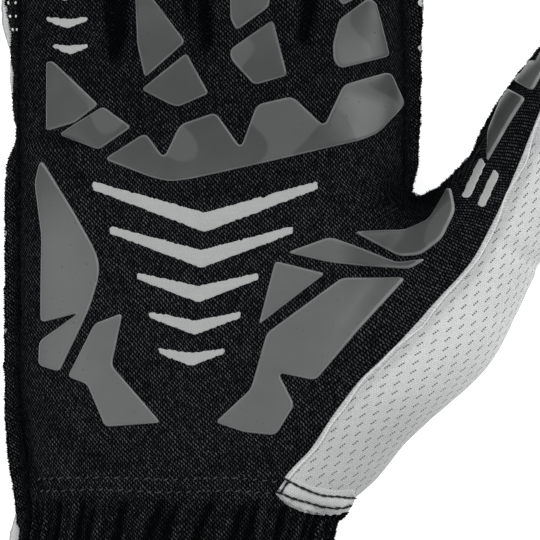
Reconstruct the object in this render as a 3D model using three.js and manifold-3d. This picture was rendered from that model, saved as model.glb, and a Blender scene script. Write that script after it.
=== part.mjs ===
// A right-hand motorsport racing glove that lies on its back, palm up, its fingers along +Y, its thumb at +X.
// The hollow fabric shell is lofted limb by limb, cut into its panels, and dressed with grip pads and trim.
import * as THREE from "three";
import { mergeVertices } from "three/addons/utils/BufferGeometryUtils.js";
import Module from "manifold-3d";

const wasm = await Module();
wasm.setup();

// Driving dimensions
const WALL = 1.6;
const GAP = 0.3;
const PAD_THICKNESS = 0.8;
const TRIM_THICKNESS = 0.45;
const HEM_THICKNESS = 0.9;
const PIPING_RADIUS = 0.65;
const PIPING_STEPS = 34;
const CHANNEL_WIDTH = 2;
const CHANNEL_FLOOR = 12;
const FLANGE_THICKNESS = 1.6;
const OUTER_FLANGE = 3.4;
const INNER_FLANGE = 0.9;
const TIP_FLANGE = 1.8;
const CROTCH_FLANGE = 1.2;
const CUFF_END = -115;
const WRIST_SEAM = -54;
const PALM_SQUARENESS = 2.5;
const FINGER_SQUARENESS = 2.25;
const THUMB_SQUARENESS = 2.2;
const PALM_SIDES = 32;
const FINGER_SIDES = 14;
const THUMB_SIDES = 20;
const CAP_STEPS = 3;
const CAP_TURN = THREE.MathUtils.degToRad(82);
const CORNER_SHARE = 0.42;
const SEAM_MARGIN = 2.5;
const DETAIL = 0.06;
const FAR = 200;

// Palm and wrist: sections across the hand, from the mouth of the cuff to the finger roots.
// along is Y, across and height place the middle, and cup is how far the hollow of the palm sinks.
const PALM = [
  { along: -135, across: -24.5, height: 19, halfWidth: 38.5, halfHeight: 20, cup: 0 },
  { along: -84, across: -23.6, height: 18, halfWidth: 37.2, halfHeight: 19.4, cup: 0 },
  { along: -60, across: -21, height: 17, halfWidth: 36.8, halfHeight: 18, cup: 0 },
  { along: -48, across: -17.8, height: 16.5, halfWidth: 40.6, halfHeight: 18, cup: 0.6 },
  { along: -30, across: -15.5, height: 16, halfWidth: 44.5, halfHeight: 18.2, cup: 2.2 },
  { along: -8, across: -14, height: 15.5, halfWidth: 46, halfHeight: 17.8, cup: 3.2 },
  { along: 16, across: -13.8, height: 15, halfWidth: 46.2, halfHeight: 17, cup: 3 },
  { along: 38, across: -14, height: 14, halfWidth: 46.2, halfHeight: 15.8, cup: 1.6 },
  { along: 54, across: -14.2, height: 13.5, halfWidth: 45.6, halfHeight: 14, cup: 0.4 },
  { along: 64, across: -14.3, height: 13.3, halfWidth: 44.5, halfHeight: 11.6, cup: 0 },
  { along: 70, across: -14.3, height: 13.3, halfWidth: 42.5, halfHeight: 8.5, cup: 0 },
  { along: 73, across: -14.3, height: 13.3, halfWidth: 40, halfHeight: 4.5, cup: 0 },
];

// Height of the seam between palm and back, and of the middle of the fingers, which curl up off the table
const SEAM_STEPS = 29;
const SEAM = [
  { along: -135, height: 19 },
  { along: -60, height: 17 },
  { along: -20, height: 15.5 },
  { along: 30, height: 14 },
  { along: 60, height: 13.3 },
  { along: 80, height: 14.4 },
  { along: 100, height: 17.6 },
  { along: 122, height: 23 },
  { along: 150, height: 32 },
];

// The same seam on the thumb, where it climbs with the thumb: along runs down the thumb's own axis.
const THUMB_SEAM = [
  { along: -60, height: -20 },
  { along: 22, height: 10 },
  { along: 34, height: 15.4 },
  { along: 50, height: 21 },
  { along: 66, height: 26.4 },
  { along: 82, height: 30.2 },
  { along: 110, height: 35.8 },
];
const THUMB_ZONE = [[36, -FAR], [FAR, -FAR], [FAR, 100], [60, 100], [36, 25]];

// Fingers from little to index: across is the middle at the crease where they part, lean the drift across for
// each millimetre along, and left and right the widths of the raw seam edge.
const FINGER_ROOT = 46;
const FINGER_CREASE = 65;
const FINGERS = [
  { across: -49.8, lean: -0.09, tip: 119, width: 19.4, left: OUTER_FLANGE, right: INNER_FLANGE },
  { across: -26.8, lean: -0.036, tip: 141, width: 20.8, left: INNER_FLANGE, right: INNER_FLANGE },
  { across: -3.2, lean: 0.004, tip: 148, width: 22.2, left: INNER_FLANGE, right: INNER_FLANGE },
  { across: 20.6, lean: 0.038, tip: 139, width: 21.2, left: INNER_FLANGE, right: OUTER_FLANGE },
];
const FINGER_HEIGHT_SHARE = 0.96;
const FINGER_TIP_TAPER = 0.86;
const FINGER_CAP_SHARE = 1.05;
const FINGER_ROWS = [FINGER_ROOT, FINGER_CREASE, 84, 102, 120];
const SHORTEST_ROW = 6;

// Thumb: sections across an axis THUMB_ANGLE off +X. along and across are measured in that turned frame.
const THUMB_ANGLE = THREE.MathUtils.degToRad(59);
const THUMB_CAP = 12;
const THUMB_RISE = 0.2;
const THUMB = [
  { along: -46, across: 29, height: 14.5, halfWidth: 8, halfHeight: 9 },
  { along: -39, across: 30.7, height: 15.1, halfWidth: 12.2, halfHeight: 12.8 },
  { along: -30, across: 32.5, height: 16, halfWidth: 15, halfHeight: 15.2 },
  { along: -18, across: 34.3, height: 16.8, halfWidth: 15.5, halfHeight: 16.8 },
  { along: -6, across: 36.4, height: 17.6, halfWidth: 16.8, halfHeight: 17.6 },
  { along: 8, across: 38.9, height: 18.6, halfWidth: 18, halfHeight: 17.4 },
  { along: 22, across: 39.7, height: 20, halfWidth: 16.3, halfHeight: 16.2 },
  { along: 34, across: 40.2, height: 21.6, halfWidth: 14.8, halfHeight: 14.8 },
  { along: 45, across: 41.1, height: 23.4, halfWidth: 13.7, halfHeight: 13.4 },
  { along: 57, across: 40.5, height: 25.4, halfWidth: 14, halfHeight: 13 },
  { along: 70, across: 40.6, height: 27.8, halfWidth: 13.5, halfHeight: 12.6 },
  { along: 83, across: 41.3, height: 30.4, halfWidth: 12.3, halfHeight: 11.6 },
];

// Web between the thumb and the index finger: sections along X, with across along Y.
const WEB_SIDES = 20;
const WEB = [
  { along: 16, across: 2, height: 16.5, halfWidth: 6, halfHeight: 9 },
  { along: 24, across: 4.2, height: 17, halfWidth: 9.4, halfHeight: 11.4 },
  { along: 31, across: 5.6, height: 17.3, halfWidth: 10.4, halfHeight: 12 },
  { along: 36, across: 6.6, height: 17.6, halfWidth: 10.3, halfHeight: 12 },
  { along: 41, across: 8.8, height: 18, halfWidth: 10.5, halfHeight: 12 },
  { along: 46, across: 12.4, height: 18.4, halfWidth: 10.6, halfHeight: 11.6 },
  { along: 50, across: 16, height: 18.8, halfWidth: 8, halfHeight: 8.5 },
];

// Elastic gathers of the cuff: pleats round the palm side, deepest just under the wrist seam.
const PLEATS = 24;
const PLEAT_DEPTH = 1.1;
const PLEAT_SIDES = 96;
const PLEAT_ROWS = [
  { along: -135, share: 0.1 },
  { along: -110, share: 0.2 },
  { along: -84, share: 0.75 },
  { along: -66, share: 1 },
  { along: -56, share: 0.6 },
  { along: -48, share: 0.2 },
];

// Seam between the black palm and the light thumb panel, seen from above: heel of the hand to tip of the thumb
const PIPING = [
  [1.4, -53.4], [4.6, -49], [10.3, -43], [15.6, -35], [21.6, -27.2], [27.7, -21.2], [33.7, -15],
  [40.3, -7.6], [45.6, -2], [50, 4], [54.6, 13], [58.4, 21.6], [61.7, 29.6], [65.2, 38.4], [69.8, 49.6],
  [74.6, 59.4], [79, 68],
];
const THUMB_HEM = [[1.4, -53.4], [4, -56], [9, -58.2], [14.8, -59], [20.5, -57], [30, -53]];
// The thumb side, where the seam edge is turned in and doesn't show
const NO_FLANGE = [[33, -FAR], [FAR, -FAR], [FAR, 100], [60, 100], [33, 21]];
const HEM_BAND = [
  [2.6, -53.2], [4.4, -55], [9.2, -57.2], [14.8, -58], [20, -56.2], [20.6, -51.6], [15.4, -53.2], [10, -52.6],
  [5.6, -50],
];

// Grip pads and silver trim, corner by corner from above; cut is how far each corner is rounded back.
const PADS = [
  {
    name: "grip_little_base",
    cut: 1,
    corners: [[-53.5, 50], [-51.9, 50], [-41, 39.6], [-46.8, 35.2], [-53.5, 33.2]],
  },
  { name: "grip_little_lower", cut: 1, corners: [[-50.6, 32.5], [-40, 39.2], [-33.1, 34.2], [-41, 28.7]] },
  {
    name: "grip_knuckle_band",
    cut: 1.6,
    corners: [
      [-39.8, 26.5], [-29.8, 32.9], [-25.4, 26.8], [-21.6, 34.8], [-13, 37.8], [-7, 29.2], [-3.2, 39.6],
      [5.4, 41.6], [12.9, 34.4], [17.6, 44.4], [28.8, 47.6], [32.2, 39.8], [26, 32.8], [22, 31.1],
      [-2.4, 25.4], [-18.7, 21.8], [-24, 21.1], [-28.6, 22.2],
    ],
  },
  {
    name: "grip_ring_base",
    cut: 1,
    corners: [[-30.9, 43.2], [-20, 52], [-14.6, 42.2], [-22, 39], [-24.2, 39.7]],
  },
  { name: "grip_ring_middle", cut: 1.2, corners: [[-32.5, 71], [-31.8, 54], [-30, 45.9], [-20.2, 54.6]] },
  {
    name: "grip_middle_base",
    cut: 1.2,
    corners: [[-9.6, 52.8], [0.7, 60], [4.2, 46.5], [-3.8, 44.2], [-9.4, 50.4]],
  },
  {
    name: "grip_middle_middle",
    cut: 1,
    corners: [[-9.8, 76], [-9.5, 60], [-8, 57.3], [-0.2, 63], [0.8, 73], [-4, 80]],
  },
  {
    name: "grip_index_base",
    cut: 1.2,
    corners: [[15, 54], [16.5, 60], [23.5, 65.2], [25.4, 64.2], [28.6, 51.2], [16.8, 48.2], [15.2, 50]],
  },
  {
    name: "grip_index_middle",
    cut: 1,
    corners: [[15.8, 76], [16.2, 65], [17.4, 63.3], [26, 68], [25, 78], [20, 80.5]],
  },
  { name: "grip_little_tip", cut: 2, corners: [[-58.6, 111], [-50.2, 111.6], [-49.4, 98], [-57, 97]] },
  { name: "grip_ring_tip", cut: 2, corners: [[-34.6, 132], [-25, 132.6], [-24, 115], [-33.4, 114]] },
  { name: "grip_middle_tip", cut: 2, corners: [[-8, 139], [2.4, 139], [2.4, 121], [-8, 121]] },
  { name: "grip_index_tip", cut: 2, corners: [[18.4, 130], [28.2, 129.6], [27.4, 113], [17.6, 113.4]] },
  {
    name: "grip_heel_outer",
    cut: 1.2,
    corners: [
      [-56.2, 22], [-55, 26.6], [-53.8, 25.2], [-46.6, 13.4], [-40.2, 0.8], [-44.4, -11.5], [-50.4, -24.8],
      [-55.3, -23.6], [-55.1, -17.2], [-45.2, -10.2], [-54.8, -12.4], [-54.8, -3], [-54.6, 8],
    ],
  },
  {
    name: "grip_heel_inner",
    cut: 1.2,
    corners: [
      [-42, -12.8], [-35.2, -10.2], [-37.8, -22.8], [-26, -36.5], [-39.4, -37.5], [-43.8, -27.2],
      [-48.4, -25.6],
    ],
  },
  { name: "grip_thumb_wedge", cut: 1, corners: [[1.2, 2.2], [13.3, -0.8], [-2.8, -13.2]] },
  {
    name: "grip_leaf_lower",
    cut: 1.6,
    corners: [
      [3.8, 4.2], [14.4, 8], [21.6, 5.4], [30.5, 1.8], [37.6, 2.8], [33.4, 0.2], [21.6, 1], [14.2, 1.8],
    ],
  },
  {
    name: "grip_leaf_upper",
    cut: 1.6,
    corners: [
      [19.8, 9.2], [32.6, 9.7], [38, 12], [43.2, 20.4], [44.3, 14.2], [41, 7.4], [36, 3.6], [31, 3.2],
    ],
  },
  {
    name: "grip_heel_thumb",
    cut: 1.4,
    corners: [
      [-0.8, -15], [17.2, -1.8], [32.6, -1.8], [21.6, -13.8], [10.9, -26.4], [2, -24.6], [5.9, -32.2],
      [1.4, -39.5], [-6, -38.8], [-13.2, -36.4], [-4.6, -28.4],
    ],
  },
  {
    name: "grip_thumb_low",
    cut: 0.8,
    floor: 26,
    corners: [[56.6, 43.6], [61, 41], [57.7, 35.9], [51.8, 25.6], [52.2, 33.2]],
  },
  {
    name: "grip_thumb_middle",
    cut: 1,
    floor: 28,
    corners: [[58.2, 45.2], [62.6, 42.6], [69, 54], [65.6, 56.4]],
  },
  {
    name: "grip_thumb_tip",
    cut: 1.4,
    floor: 30,
    corners: [[68.4, 59.8], [71.8, 57.6], [77, 66.6], [74, 69]],
  },
];

// Chevrons: the tip points to the wrist, span is the reach of each arm and thickness the depth at the middle.
const CHEVRON_ARM_SHARE = 0.42;
const CHEVRON_RISE = 0.38;
const PALM_CHEVRONS = [
  { tip: [-15.6, 9], span: 27, thickness: 4.8 },
  { tip: [-16.4, 0.4], span: 22, thickness: 4.4 },
  { tip: [-17.2, -7.8], span: 14.5, thickness: 4 },
  { tip: [-18, -15.6], span: 11, thickness: 3.6 },
  { tip: [-18.8, -23], span: 8, thickness: 3.2 },
];
const LITTLE_CHEVRONS = [
  { tip: [-49.2, 64.4], span: 5.6, thickness: 2.6 },
  { tip: [-48.6, 57.8], span: 5, thickness: 2.4 },
  { tip: [-47.8, 51.6], span: 4.3, thickness: 2.2 },
];
const THUMB_BARS = [
  [[45.6, 17.6], [47.6, 17], [51.6, 25.6], [50.2, 27]],
  [[49.2, 15.6], [51.2, 15], [54.8, 22.8], [53.4, 24.2]],
];

// Finishes
const BLACK_KNIT = new THREE.MeshStandardMaterial({ color: 0x0c0d0f, roughness: 0.95, metalness: 0 });
const LIGHT_KNIT = new THREE.MeshStandardMaterial({ color: 0xc4c6c6, roughness: 0.85, metalness: 0 });
const GREY_SILICONE = new THREE.MeshStandardMaterial({ color: 0x646867, roughness: 0.35, metalness: 0 });
const SILVER_FILM = new THREE.MeshStandardMaterial({ color: 0xb0b3b1, roughness: 0.45, metalness: 0.2 });

// A table read as a smooth curve: every column but along, interpolated between the rows on either side.
function rowAt(rows, along) {
  const last = rows.length - 2;
  let i = 0;
  while (i < last && rows[i + 1].along < along) i += 1;
  const [a, b] = [rows[i], rows[i + 1]];
  const before = rows[Math.max(i - 1, 0)];
  const after = rows[Math.min(i + 2, rows.length - 1)];
  const width = b.along - a.along;
  const t = THREE.MathUtils.clamp((along - a.along) / width, 0, 1);
  const found = { along };
  for (const column of Object.keys(a)) {
    if (column === "along") continue;
    const startSlope = ((b[column] - before[column]) / (b.along - before.along)) * width;
    const endSlope = ((after[column] - a[column]) / (after.along - a.along)) * width;
    found[column] =
      a[column] * (2 * t ** 3 - 3 * t ** 2 + 1) +
      startSlope * (t ** 3 - 2 * t ** 2 + t) +
      b[column] * (3 * t ** 2 - 2 * t ** 3) +
      endSlope * (t ** 3 - t ** 2);
  }
  return found;
}

const seamHeight = (along) => rowAt(SEAM, along).height;

// A closed three.js geometry as a solid, turned right side out if its faces point in.
function solidOf(geometry) {
  const bare = geometry.index ? geometry.toNonIndexed() : geometry.clone();
  bare.deleteAttribute("normal");
  bare.deleteAttribute("uv");
  const merged = mergeVertices(bare, 1e-4);
  const triVerts = new Uint32Array(merged.index.array);
  const mesh = { numProp: 3, vertProperties: merged.attributes.position.array, triVerts };
  const solid = new wasm.Manifold(new wasm.Mesh(mesh));
  if (solid.volume() > 0) return solid;
  for (let i = 0; i < triVerts.length; i += 3) {
    [triVerts[i + 1], triVerts[i + 2]] = [triVerts[i + 2], triVerts[i + 1]];
  }
  return new wasm.Manifold(new wasm.Mesh(mesh));
}

// A skin stretched over rings of points, closed at both ends.
function loft(rings) {
  const sides = rings[0].length;
  const position = [];
  const face = (...corners) => corners.forEach((p) => position.push(p.x, p.y, p.z));
  for (let r = 0; r + 1 < rings.length; r += 1) {
    for (let i = 0; i < sides; i += 1) {
      const j = (i + 1) % sides;
      face(rings[r][i], rings[r + 1][i], rings[r + 1][j]);
      face(rings[r][i], rings[r + 1][j], rings[r][j]);
    }
  }
  for (const [ring, isFirst] of [[rings[0], true], [rings[rings.length - 1], false]]) {
    for (let i = 1; i + 1 < sides; i += 1) {
      if (isFirst) face(ring[0], ring[i], ring[i + 1]);
      else face(ring[0], ring[i + 1], ring[i]);
    }
  }
  const geometry = new THREE.BufferGeometry();
  geometry.setAttribute("position", new THREE.Float32BufferAttribute(position, 3));
  return solidOf(geometry);
}

// A section grown by outset, and moved along by shift
const grown = (section, outset, shift = 0) => ({
  ...section,
  along: section.along + shift,
  halfWidth: section.halfWidth + outset,
  halfHeight: section.halfHeight + outset,
});

// One section as a ring: a squared oval round a middle, placed by a function from (along, across, height).
// cup presses the middle of its upper side down.
function ovalRing(section, squareness, sides, place) {
  const power = 2 / squareness;
  return Array.from({ length: sides }, (_, i) => {
    const angle = ((i + 0.5) / sides) * 2 * Math.PI;
    const c = Math.cos(angle);
    const s = Math.sin(angle);
    const u = section.halfWidth * Math.sign(c) * Math.abs(c) ** power;
    const v = section.halfHeight * Math.sign(s) * Math.abs(s) ** power;
    const middleShare = Math.max(0, 1 - (u / section.halfWidth) ** 2);
    const hollow = s > 0 && section.cup ? section.cup * middleShare ** 2 : 0;
    return place(section.along, section.across + u, section.height + v - hollow);
  });
}

const upright = (along, across, height) => new THREE.Vector3(across, along, height);
const sideways = (along, across, height) => new THREE.Vector3(along, across, height);
const turned = (along, across, height) =>
  new THREE.Vector3(
    along * Math.cos(THUMB_ANGLE) + across * Math.sin(THUMB_ANGLE),
    along * Math.sin(THUMB_ANGLE) - across * Math.cos(THUMB_ANGLE),
    height,
  );

// The rounded end of a limb: its last section, shrunk step by step along a quarter round.
function capSections(section, length) {
  return Array.from({ length: CAP_STEPS }, (_, i) => {
    const angle = ((i + 1) / CAP_STEPS) * CAP_TURN;
    return {
      ...section,
      along: section.along + length * Math.sin(angle),
      halfWidth: section.halfWidth * Math.cos(angle),
      halfHeight: section.halfHeight * Math.cos(angle),
    };
  });
}

// reach carries the end between the fingers further out.
function palmLoft(outset, reach = outset) {
  const rows = PALM.map((row) => grown(row, outset, row.along > FINGER_CREASE ? reach : 0));
  return loft(rows.map((row) => ovalRing(row, PALM_SQUARENESS, PALM_SIDES, upright)));
}

// A finger: straight sides to the start of the cap, then the rounded tip. left and right widen it on one side
// and reach lengthens it.
function fingerLoft(finger, outset, { left, right, reach } = { left: 0, right: 0, reach: 0 }) {
  const capLength = (finger.width / 2) * FINGER_CAP_SHARE + reach;
  const capStart = finger.tip + reach - capLength;
  const sectionAt = (along) => {
    const share = THREE.MathUtils.clamp((along - FINGER_CREASE) / (capStart - FINGER_CREASE), 0, 1);
    const half = (finger.width / 2) * (1 - (1 - FINGER_TIP_TAPER) * share ** 2);
    return {
      along,
      across: finger.across + finger.lean * (along - FINGER_CREASE) + (right - left) / 2,
      height: seamHeight(along),
      halfWidth: half + (left + right) / 2 + outset,
      halfHeight: half * FINGER_HEIGHT_SHARE + outset,
    };
  };
  const rows = FINGER_ROWS.filter((along) => along < capStart - SHORTEST_ROW);
  const straight = [...rows, capStart].map(sectionAt);
  const cap = capSections(straight[straight.length - 1], capLength + outset).map((section) => ({
    ...section,
    height: seamHeight(section.along),
  }));
  return loft([...straight, ...cap].map((row) => ovalRing(row, FINGER_SQUARENESS, FINGER_SIDES, upright)));
}

function thumbLoft(outset) {
  const rows = THUMB.map((row, i) => grown(row, outset, i === 0 ? -outset : 0));
  const last = rows[rows.length - 1];
  const cap = capSections(last, THUMB_CAP + outset).map((section) => ({
    ...section,
    height: last.height + THUMB_RISE * (section.along - last.along),
  }));
  return loft([...rows, ...cap].map((row) => ovalRing(row, THUMB_SQUARENESS, THUMB_SIDES, turned)));
}

function webLoft(outset) {
  return loft(WEB.map((row) => ovalRing(grown(row, outset), THUMB_SQUARENESS, WEB_SIDES, sideways)));
}

// Boxes, prisms and ribbons to cut with
function block(low, high) {
  const size = new THREE.Vector3().subVectors(high, low);
  const geometry = new THREE.BoxGeometry(size.x, size.y, size.z);
  geometry.translate(...new THREE.Vector3().addVectors(low, high).multiplyScalar(0.5));
  return solidOf(geometry);
}

function prism(shape, low, high, curveSegments = 2) {
  const geometry = new THREE.ExtrudeGeometry(shape, { depth: high - low, bevelEnabled: false, curveSegments });
  geometry.translate(0, 0, low);
  return solidOf(geometry);
}

// An outline whose corners are rounded back by cut, or by less where an edge is short.
function roundedShape(corners, cut) {
  const points = corners.map(([x, y]) => new THREE.Vector2(x, y));
  const shape = new THREE.Shape();
  points.forEach((corner, i) => {
    const before = points[(i + points.length - 1) % points.length];
    const after = points[(i + 1) % points.length];
    const share = (other) => Math.min(cut / corner.distanceTo(other), CORNER_SHARE);
    const back = (other) => corner.clone().lerp(other, share(other));
    const [start, end] = [back(before), back(after)];
    if (i === 0) shape.moveTo(start.x, start.y);
    else shape.lineTo(start.x, start.y);
    shape.quadraticCurveTo(corner.x, corner.y, end.x, end.y);
  });
  return shape;
}

const polygon = (corners) => new THREE.Shape(corners.map(([x, y]) => new THREE.Vector2(x, y)));

// A strip of even width along an open path, as an outline.
function ribbon(path, width) {
  const points = path.map(([x, y]) => new THREE.Vector2(x, y));
  const side = points.map((p, i) => {
    const next = points[Math.min(i + 1, points.length - 1)];
    const run = next.clone().sub(points[Math.max(i - 1, 0)]).normalize();
    return new THREE.Vector2(-run.y, run.x).multiplyScalar(width / 2);
  });
  const left = points.map((p, i) => p.clone().add(side[i]));
  const right = points.map((p, i) => p.clone().sub(side[i])).reverse();
  return new THREE.Shape([...left, ...right]);
}

// The height of a seam as an outline over along, filled up to the top or down to the bottom.
function seamOutline(table, offset, filledTo) {
  const [first, last] = [table[0].along, table[table.length - 1].along];
  const line = Array.from({ length: SEAM_STEPS + 1 }, (_, i) => {
    const along = first + ((last - first) * i) / SEAM_STEPS;
    return new THREE.Vector2(along, rowAt(table, along).height + offset);
  });
  return new THREE.Shape([...line, new THREE.Vector2(last, filledTo), new THREE.Vector2(first, filledTo)]);
}

// The space above the palm-to-back seam: a long prism that runs across the hand, less one along the thumb.
function aboveSeam(offset) {
  const swept = (outline, turn) => {
    const geometry = new THREE.ExtrudeGeometry(outline, { depth: 2 * FAR, bevelEnabled: false });
    geometry.applyMatrix4(new THREE.Matrix4().makeBasis(
      new THREE.Vector3(0, 1, 0),
      new THREE.Vector3(0, 0, 1),
      new THREE.Vector3(1, 0, 0),
    ));
    geometry.translate(-FAR, 0, 0);
    geometry.rotateZ(turn);
    return solidOf(geometry);
  };
  const hand = swept(seamOutline(SEAM, offset, FAR), 0);
  const underThumb = swept(seamOutline(THUMB_SEAM, offset, -FAR), THUMB_ANGLE - Math.PI / 2);
  return hand.subtract(underThumb.intersect(prism(polygon(THUMB_ZONE), -FAR, FAR)));
}

// Everything between two distances along the hand and under a height
function slab(fromAlong, toAlong, height = FAR) {
  return block(new THREE.Vector3(-FAR, fromAlong, -FAR), new THREE.Vector3(FAR, toAlong, height));
}

const everywhere = slab(-FAR, FAR);
const pastMouth = slab(-FAR, CUFF_END);

// The whole hand grown by outset, flattened where it rests and cut at the mouth of the cuff.
function skin(outset) {
  const fingers = FINGERS.map((finger) => fingerLoft(finger, outset));
  const limbs = [palmLoft(outset), thumbLoft(outset), webLoft(outset), ...fingers];
  return limbs.reduce((all, limb) => all.add(limb)).subtract(slab(-FAR, FAR, -outset));
}

const outerSkin = skin(0);
const shell = outerSkin.subtract(skin(-WALL)).subtract(pastMouth);

// Regions seen from above
const pastThumb = [[110, 100], [FAR, 60], [FAR, -53]];
const thumbSide = [...PIPING, ...pastThumb, ...THUMB_HEM.slice(1).reverse()];
const thumbRegion = prism(polygon(thumbSide), -FAR, FAR);
const thumbOutline = [[85, 80], ...[...PIPING].reverse(), ...THUMB_HEM.slice(1), [60, -45]];
const thumbGap = prism(ribbon(thumbOutline, GAP), -FAR, FAR);
const pipingChannel = prism(ribbon(PIPING, CHANNEL_WIDTH), CHANNEL_FLOOR, FAR);
const underWrist = slab(-FAR, WRIST_SEAM);
const cuffZone = slab(-FAR, WRIST_SEAM - GAP);
const overSeam = aboveSeam(GAP / 2);
const underSeam = everywhere.subtract(aboveSeam(-GAP / 2));

const sewn = shell.subtract(thumbGap);
const thumbPanel = sewn.intersect(thumbRegion).subtract(pipingChannel);
const palmPanel = sewn
  .subtract(thumbRegion)
  .intersect(overSeam)
  .subtract(pipingChannel)
  .subtract(underWrist);
const backPanel = sewn.subtract(thumbRegion).intersect(underSeam);

// The palm side of the cuff, pleated by its elastic
function pleatedLoft(outset) {
  const rings = PLEAT_ROWS.map(({ along, share }) => {
    const row = rowAt(PALM, along);
    const ring = ovalRing(grown({ ...row, cup: 0 }, outset), PALM_SQUARENESS, PLEAT_SIDES, upright);
    return ring.map((point, i) => {
      const wave = Math.cos((2 * Math.PI * PLEATS * i) / PLEAT_SIDES);
      const middle = new THREE.Vector3(row.across, along, row.height);
      const out = point.clone().sub(middle).normalize();
      return point.addScaledVector(out, PLEAT_DEPTH * share * (wave - 1) * 0.5);
    });
  });
  return loft(rings);
}
const cuffPanel = pleatedLoft(0)
  .subtract(pleatedLoft(-WALL))
  .subtract(pastMouth)
  .intersect(overSeam)
  .intersect(cuffZone)
  .subtract(thumbRegion)
  .subtract(thumbGap);

// Raw edge of the seam that runs round the fingers and down the little-finger side
function seamFlange() {
  const limbs = [
    palmLoft(OUTER_FLANGE, CROTCH_FLANGE),
    ...FINGERS.map((finger) => fingerLoft(finger, 0, { ...finger, reach: TIP_FLANGE })),
  ];
  const thumbSpace = prism(polygon(NO_FLANGE), -FAR, FAR);
  return limbs
    .reduce((all, limb) => all.add(limb))
    .intersect(aboveSeam(-FLANGE_THICKNESS / 2))
    .subtract(aboveSeam(FLANGE_THICKNESS / 2))
    .subtract(skin(GAP))
    .subtract(thumbSpace)
    .subtract(pastMouth);
}

// A flat applied piece that follows the surface under it, lying GAP clear of it
const clearSkin = skin(GAP);
const padSkin = skin(GAP + PAD_THICKNESS);
const trimSkin = skin(GAP + TRIM_THICKNESS);
const hemSkin = skin(GAP + HEM_THICKNESS);
const palmSide = aboveSeam(SEAM_MARGIN);
function applied(shape, top, floor = 0) {
  return prism(shape, floor, FAR).intersect(palmSide).intersect(top).subtract(clearSkin);
}

function chevronCorners({ tip: [x, y], span, thickness }) {
  const low = y + span * CHEVRON_RISE;
  const high = low + thickness * CHEVRON_ARM_SHARE;
  return [[x, y], [x + span, low], [x + span, high], [x, y + thickness], [x - span, high], [x - span, low]];
}

// Height of the glove's top under a point seen from above
const caster = new THREE.Raycaster();
const topMesh = (() => {
  const { vertProperties, triVerts } = outerSkin.getMesh();
  const geometry = new THREE.BufferGeometry();
  geometry.setAttribute("position", new THREE.BufferAttribute(new Float32Array(vertProperties), 3));
  geometry.setIndex(new THREE.BufferAttribute(new Uint32Array(triVerts), 1));
  return new THREE.Mesh(geometry, new THREE.MeshBasicMaterial({ side: THREE.DoubleSide }));
})();
function topHeight(x, y) {
  caster.set(new THREE.Vector3(x, y, FAR), new THREE.Vector3(0, 0, -1));
  return caster.intersectObject(topMesh)[0].point.z;
}

// The light cord stitched over the thumb seam
function pipingCord() {
  const seated = ([x, y]) => new THREE.Vector3(x, y, topHeight(x, y) - PIPING_RADIUS / 2);
  const extrudePath = new THREE.CatmullRomCurve3(PIPING.slice(1, -1).map(seated));
  const section = new THREE.Shape();
  section.absarc(0, 0, PIPING_RADIUS, 0, 2 * Math.PI, false);
  const geometry = new THREE.ExtrudeGeometry(section, { steps: PIPING_STEPS, curveSegments: 3, extrudePath });
  return solidOf(geometry);
}

// Assembly
const glove = new THREE.Group();

// Each piece is its one real body, without the slivers that cuts leave, at no more detail than it needs.
function addPiece(name, solid, material) {
  const body = solid.decompose().reduce((best, one) => (one.volume() > best.volume() ? one : best));
  const { vertProperties, triVerts } = body.simplify(DETAIL).getMesh();
  const geometry = new THREE.BufferGeometry();
  geometry.setAttribute("position", new THREE.BufferAttribute(new Float32Array(vertProperties), 3));
  geometry.setIndex(new THREE.BufferAttribute(new Uint32Array(triVerts), 1));
  geometry.computeVertexNormals();
  const piece = new THREE.Mesh(geometry, material);
  piece.name = name;
  glove.add(piece);
}

addPiece("palm_panel", palmPanel, BLACK_KNIT);
addPiece("back_panel", backPanel, LIGHT_KNIT);
addPiece("thumb_panel", thumbPanel, LIGHT_KNIT);
addPiece("cuff_panel", cuffPanel, BLACK_KNIT);
addPiece("thumb_hem", applied(roundedShape(HEM_BAND, 0.8), hemSkin, 20), LIGHT_KNIT);
addPiece("thumb_piping", pipingCord(), LIGHT_KNIT);
addPiece("seam_flange", seamFlange(), BLACK_KNIT);
for (const pad of PADS) {
  addPiece(pad.name, applied(roundedShape(pad.corners, pad.cut), padSkin, pad.floor), GREY_SILICONE);
}
PALM_CHEVRONS.forEach((chevron, i) => {
  const outline = roundedShape(chevronCorners(chevron), 0.5);
  addPiece(`palm_chevron_${i + 1}`, applied(outline, trimSkin), SILVER_FILM);
});
LITTLE_CHEVRONS.forEach((chevron, i) => {
  const outline = roundedShape(chevronCorners(chevron), 0.4);
  addPiece(`little_chevron_${i + 1}`, applied(outline, trimSkin), SILVER_FILM);
});
THUMB_BARS.forEach((corners, i) => {
  addPiece(`thumb_bar_${i + 1}`, applied(roundedShape(corners, 0.4), trimSkin, 20), SILVER_FILM);
});

// The origin is on the table, under the middle of the glove's box.
const bounds = new THREE.Box3().setFromObject(glove);
const middle = bounds.getCenter(new THREE.Vector3());
glove.position.set(-middle.x, -middle.y, -bounds.min.z);

export default glove;
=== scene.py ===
# The looks of a right-hand racing glove that lies palm up: knitted panels, pads, silver trim and stitches.
# Tables and sizes are in millimetres in the pattern's own axes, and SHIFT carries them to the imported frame.
import math

import bmesh
import bpy
import numpy as np
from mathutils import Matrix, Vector, geometry, noise
from mathutils.bvhtree import BVHTree


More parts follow.
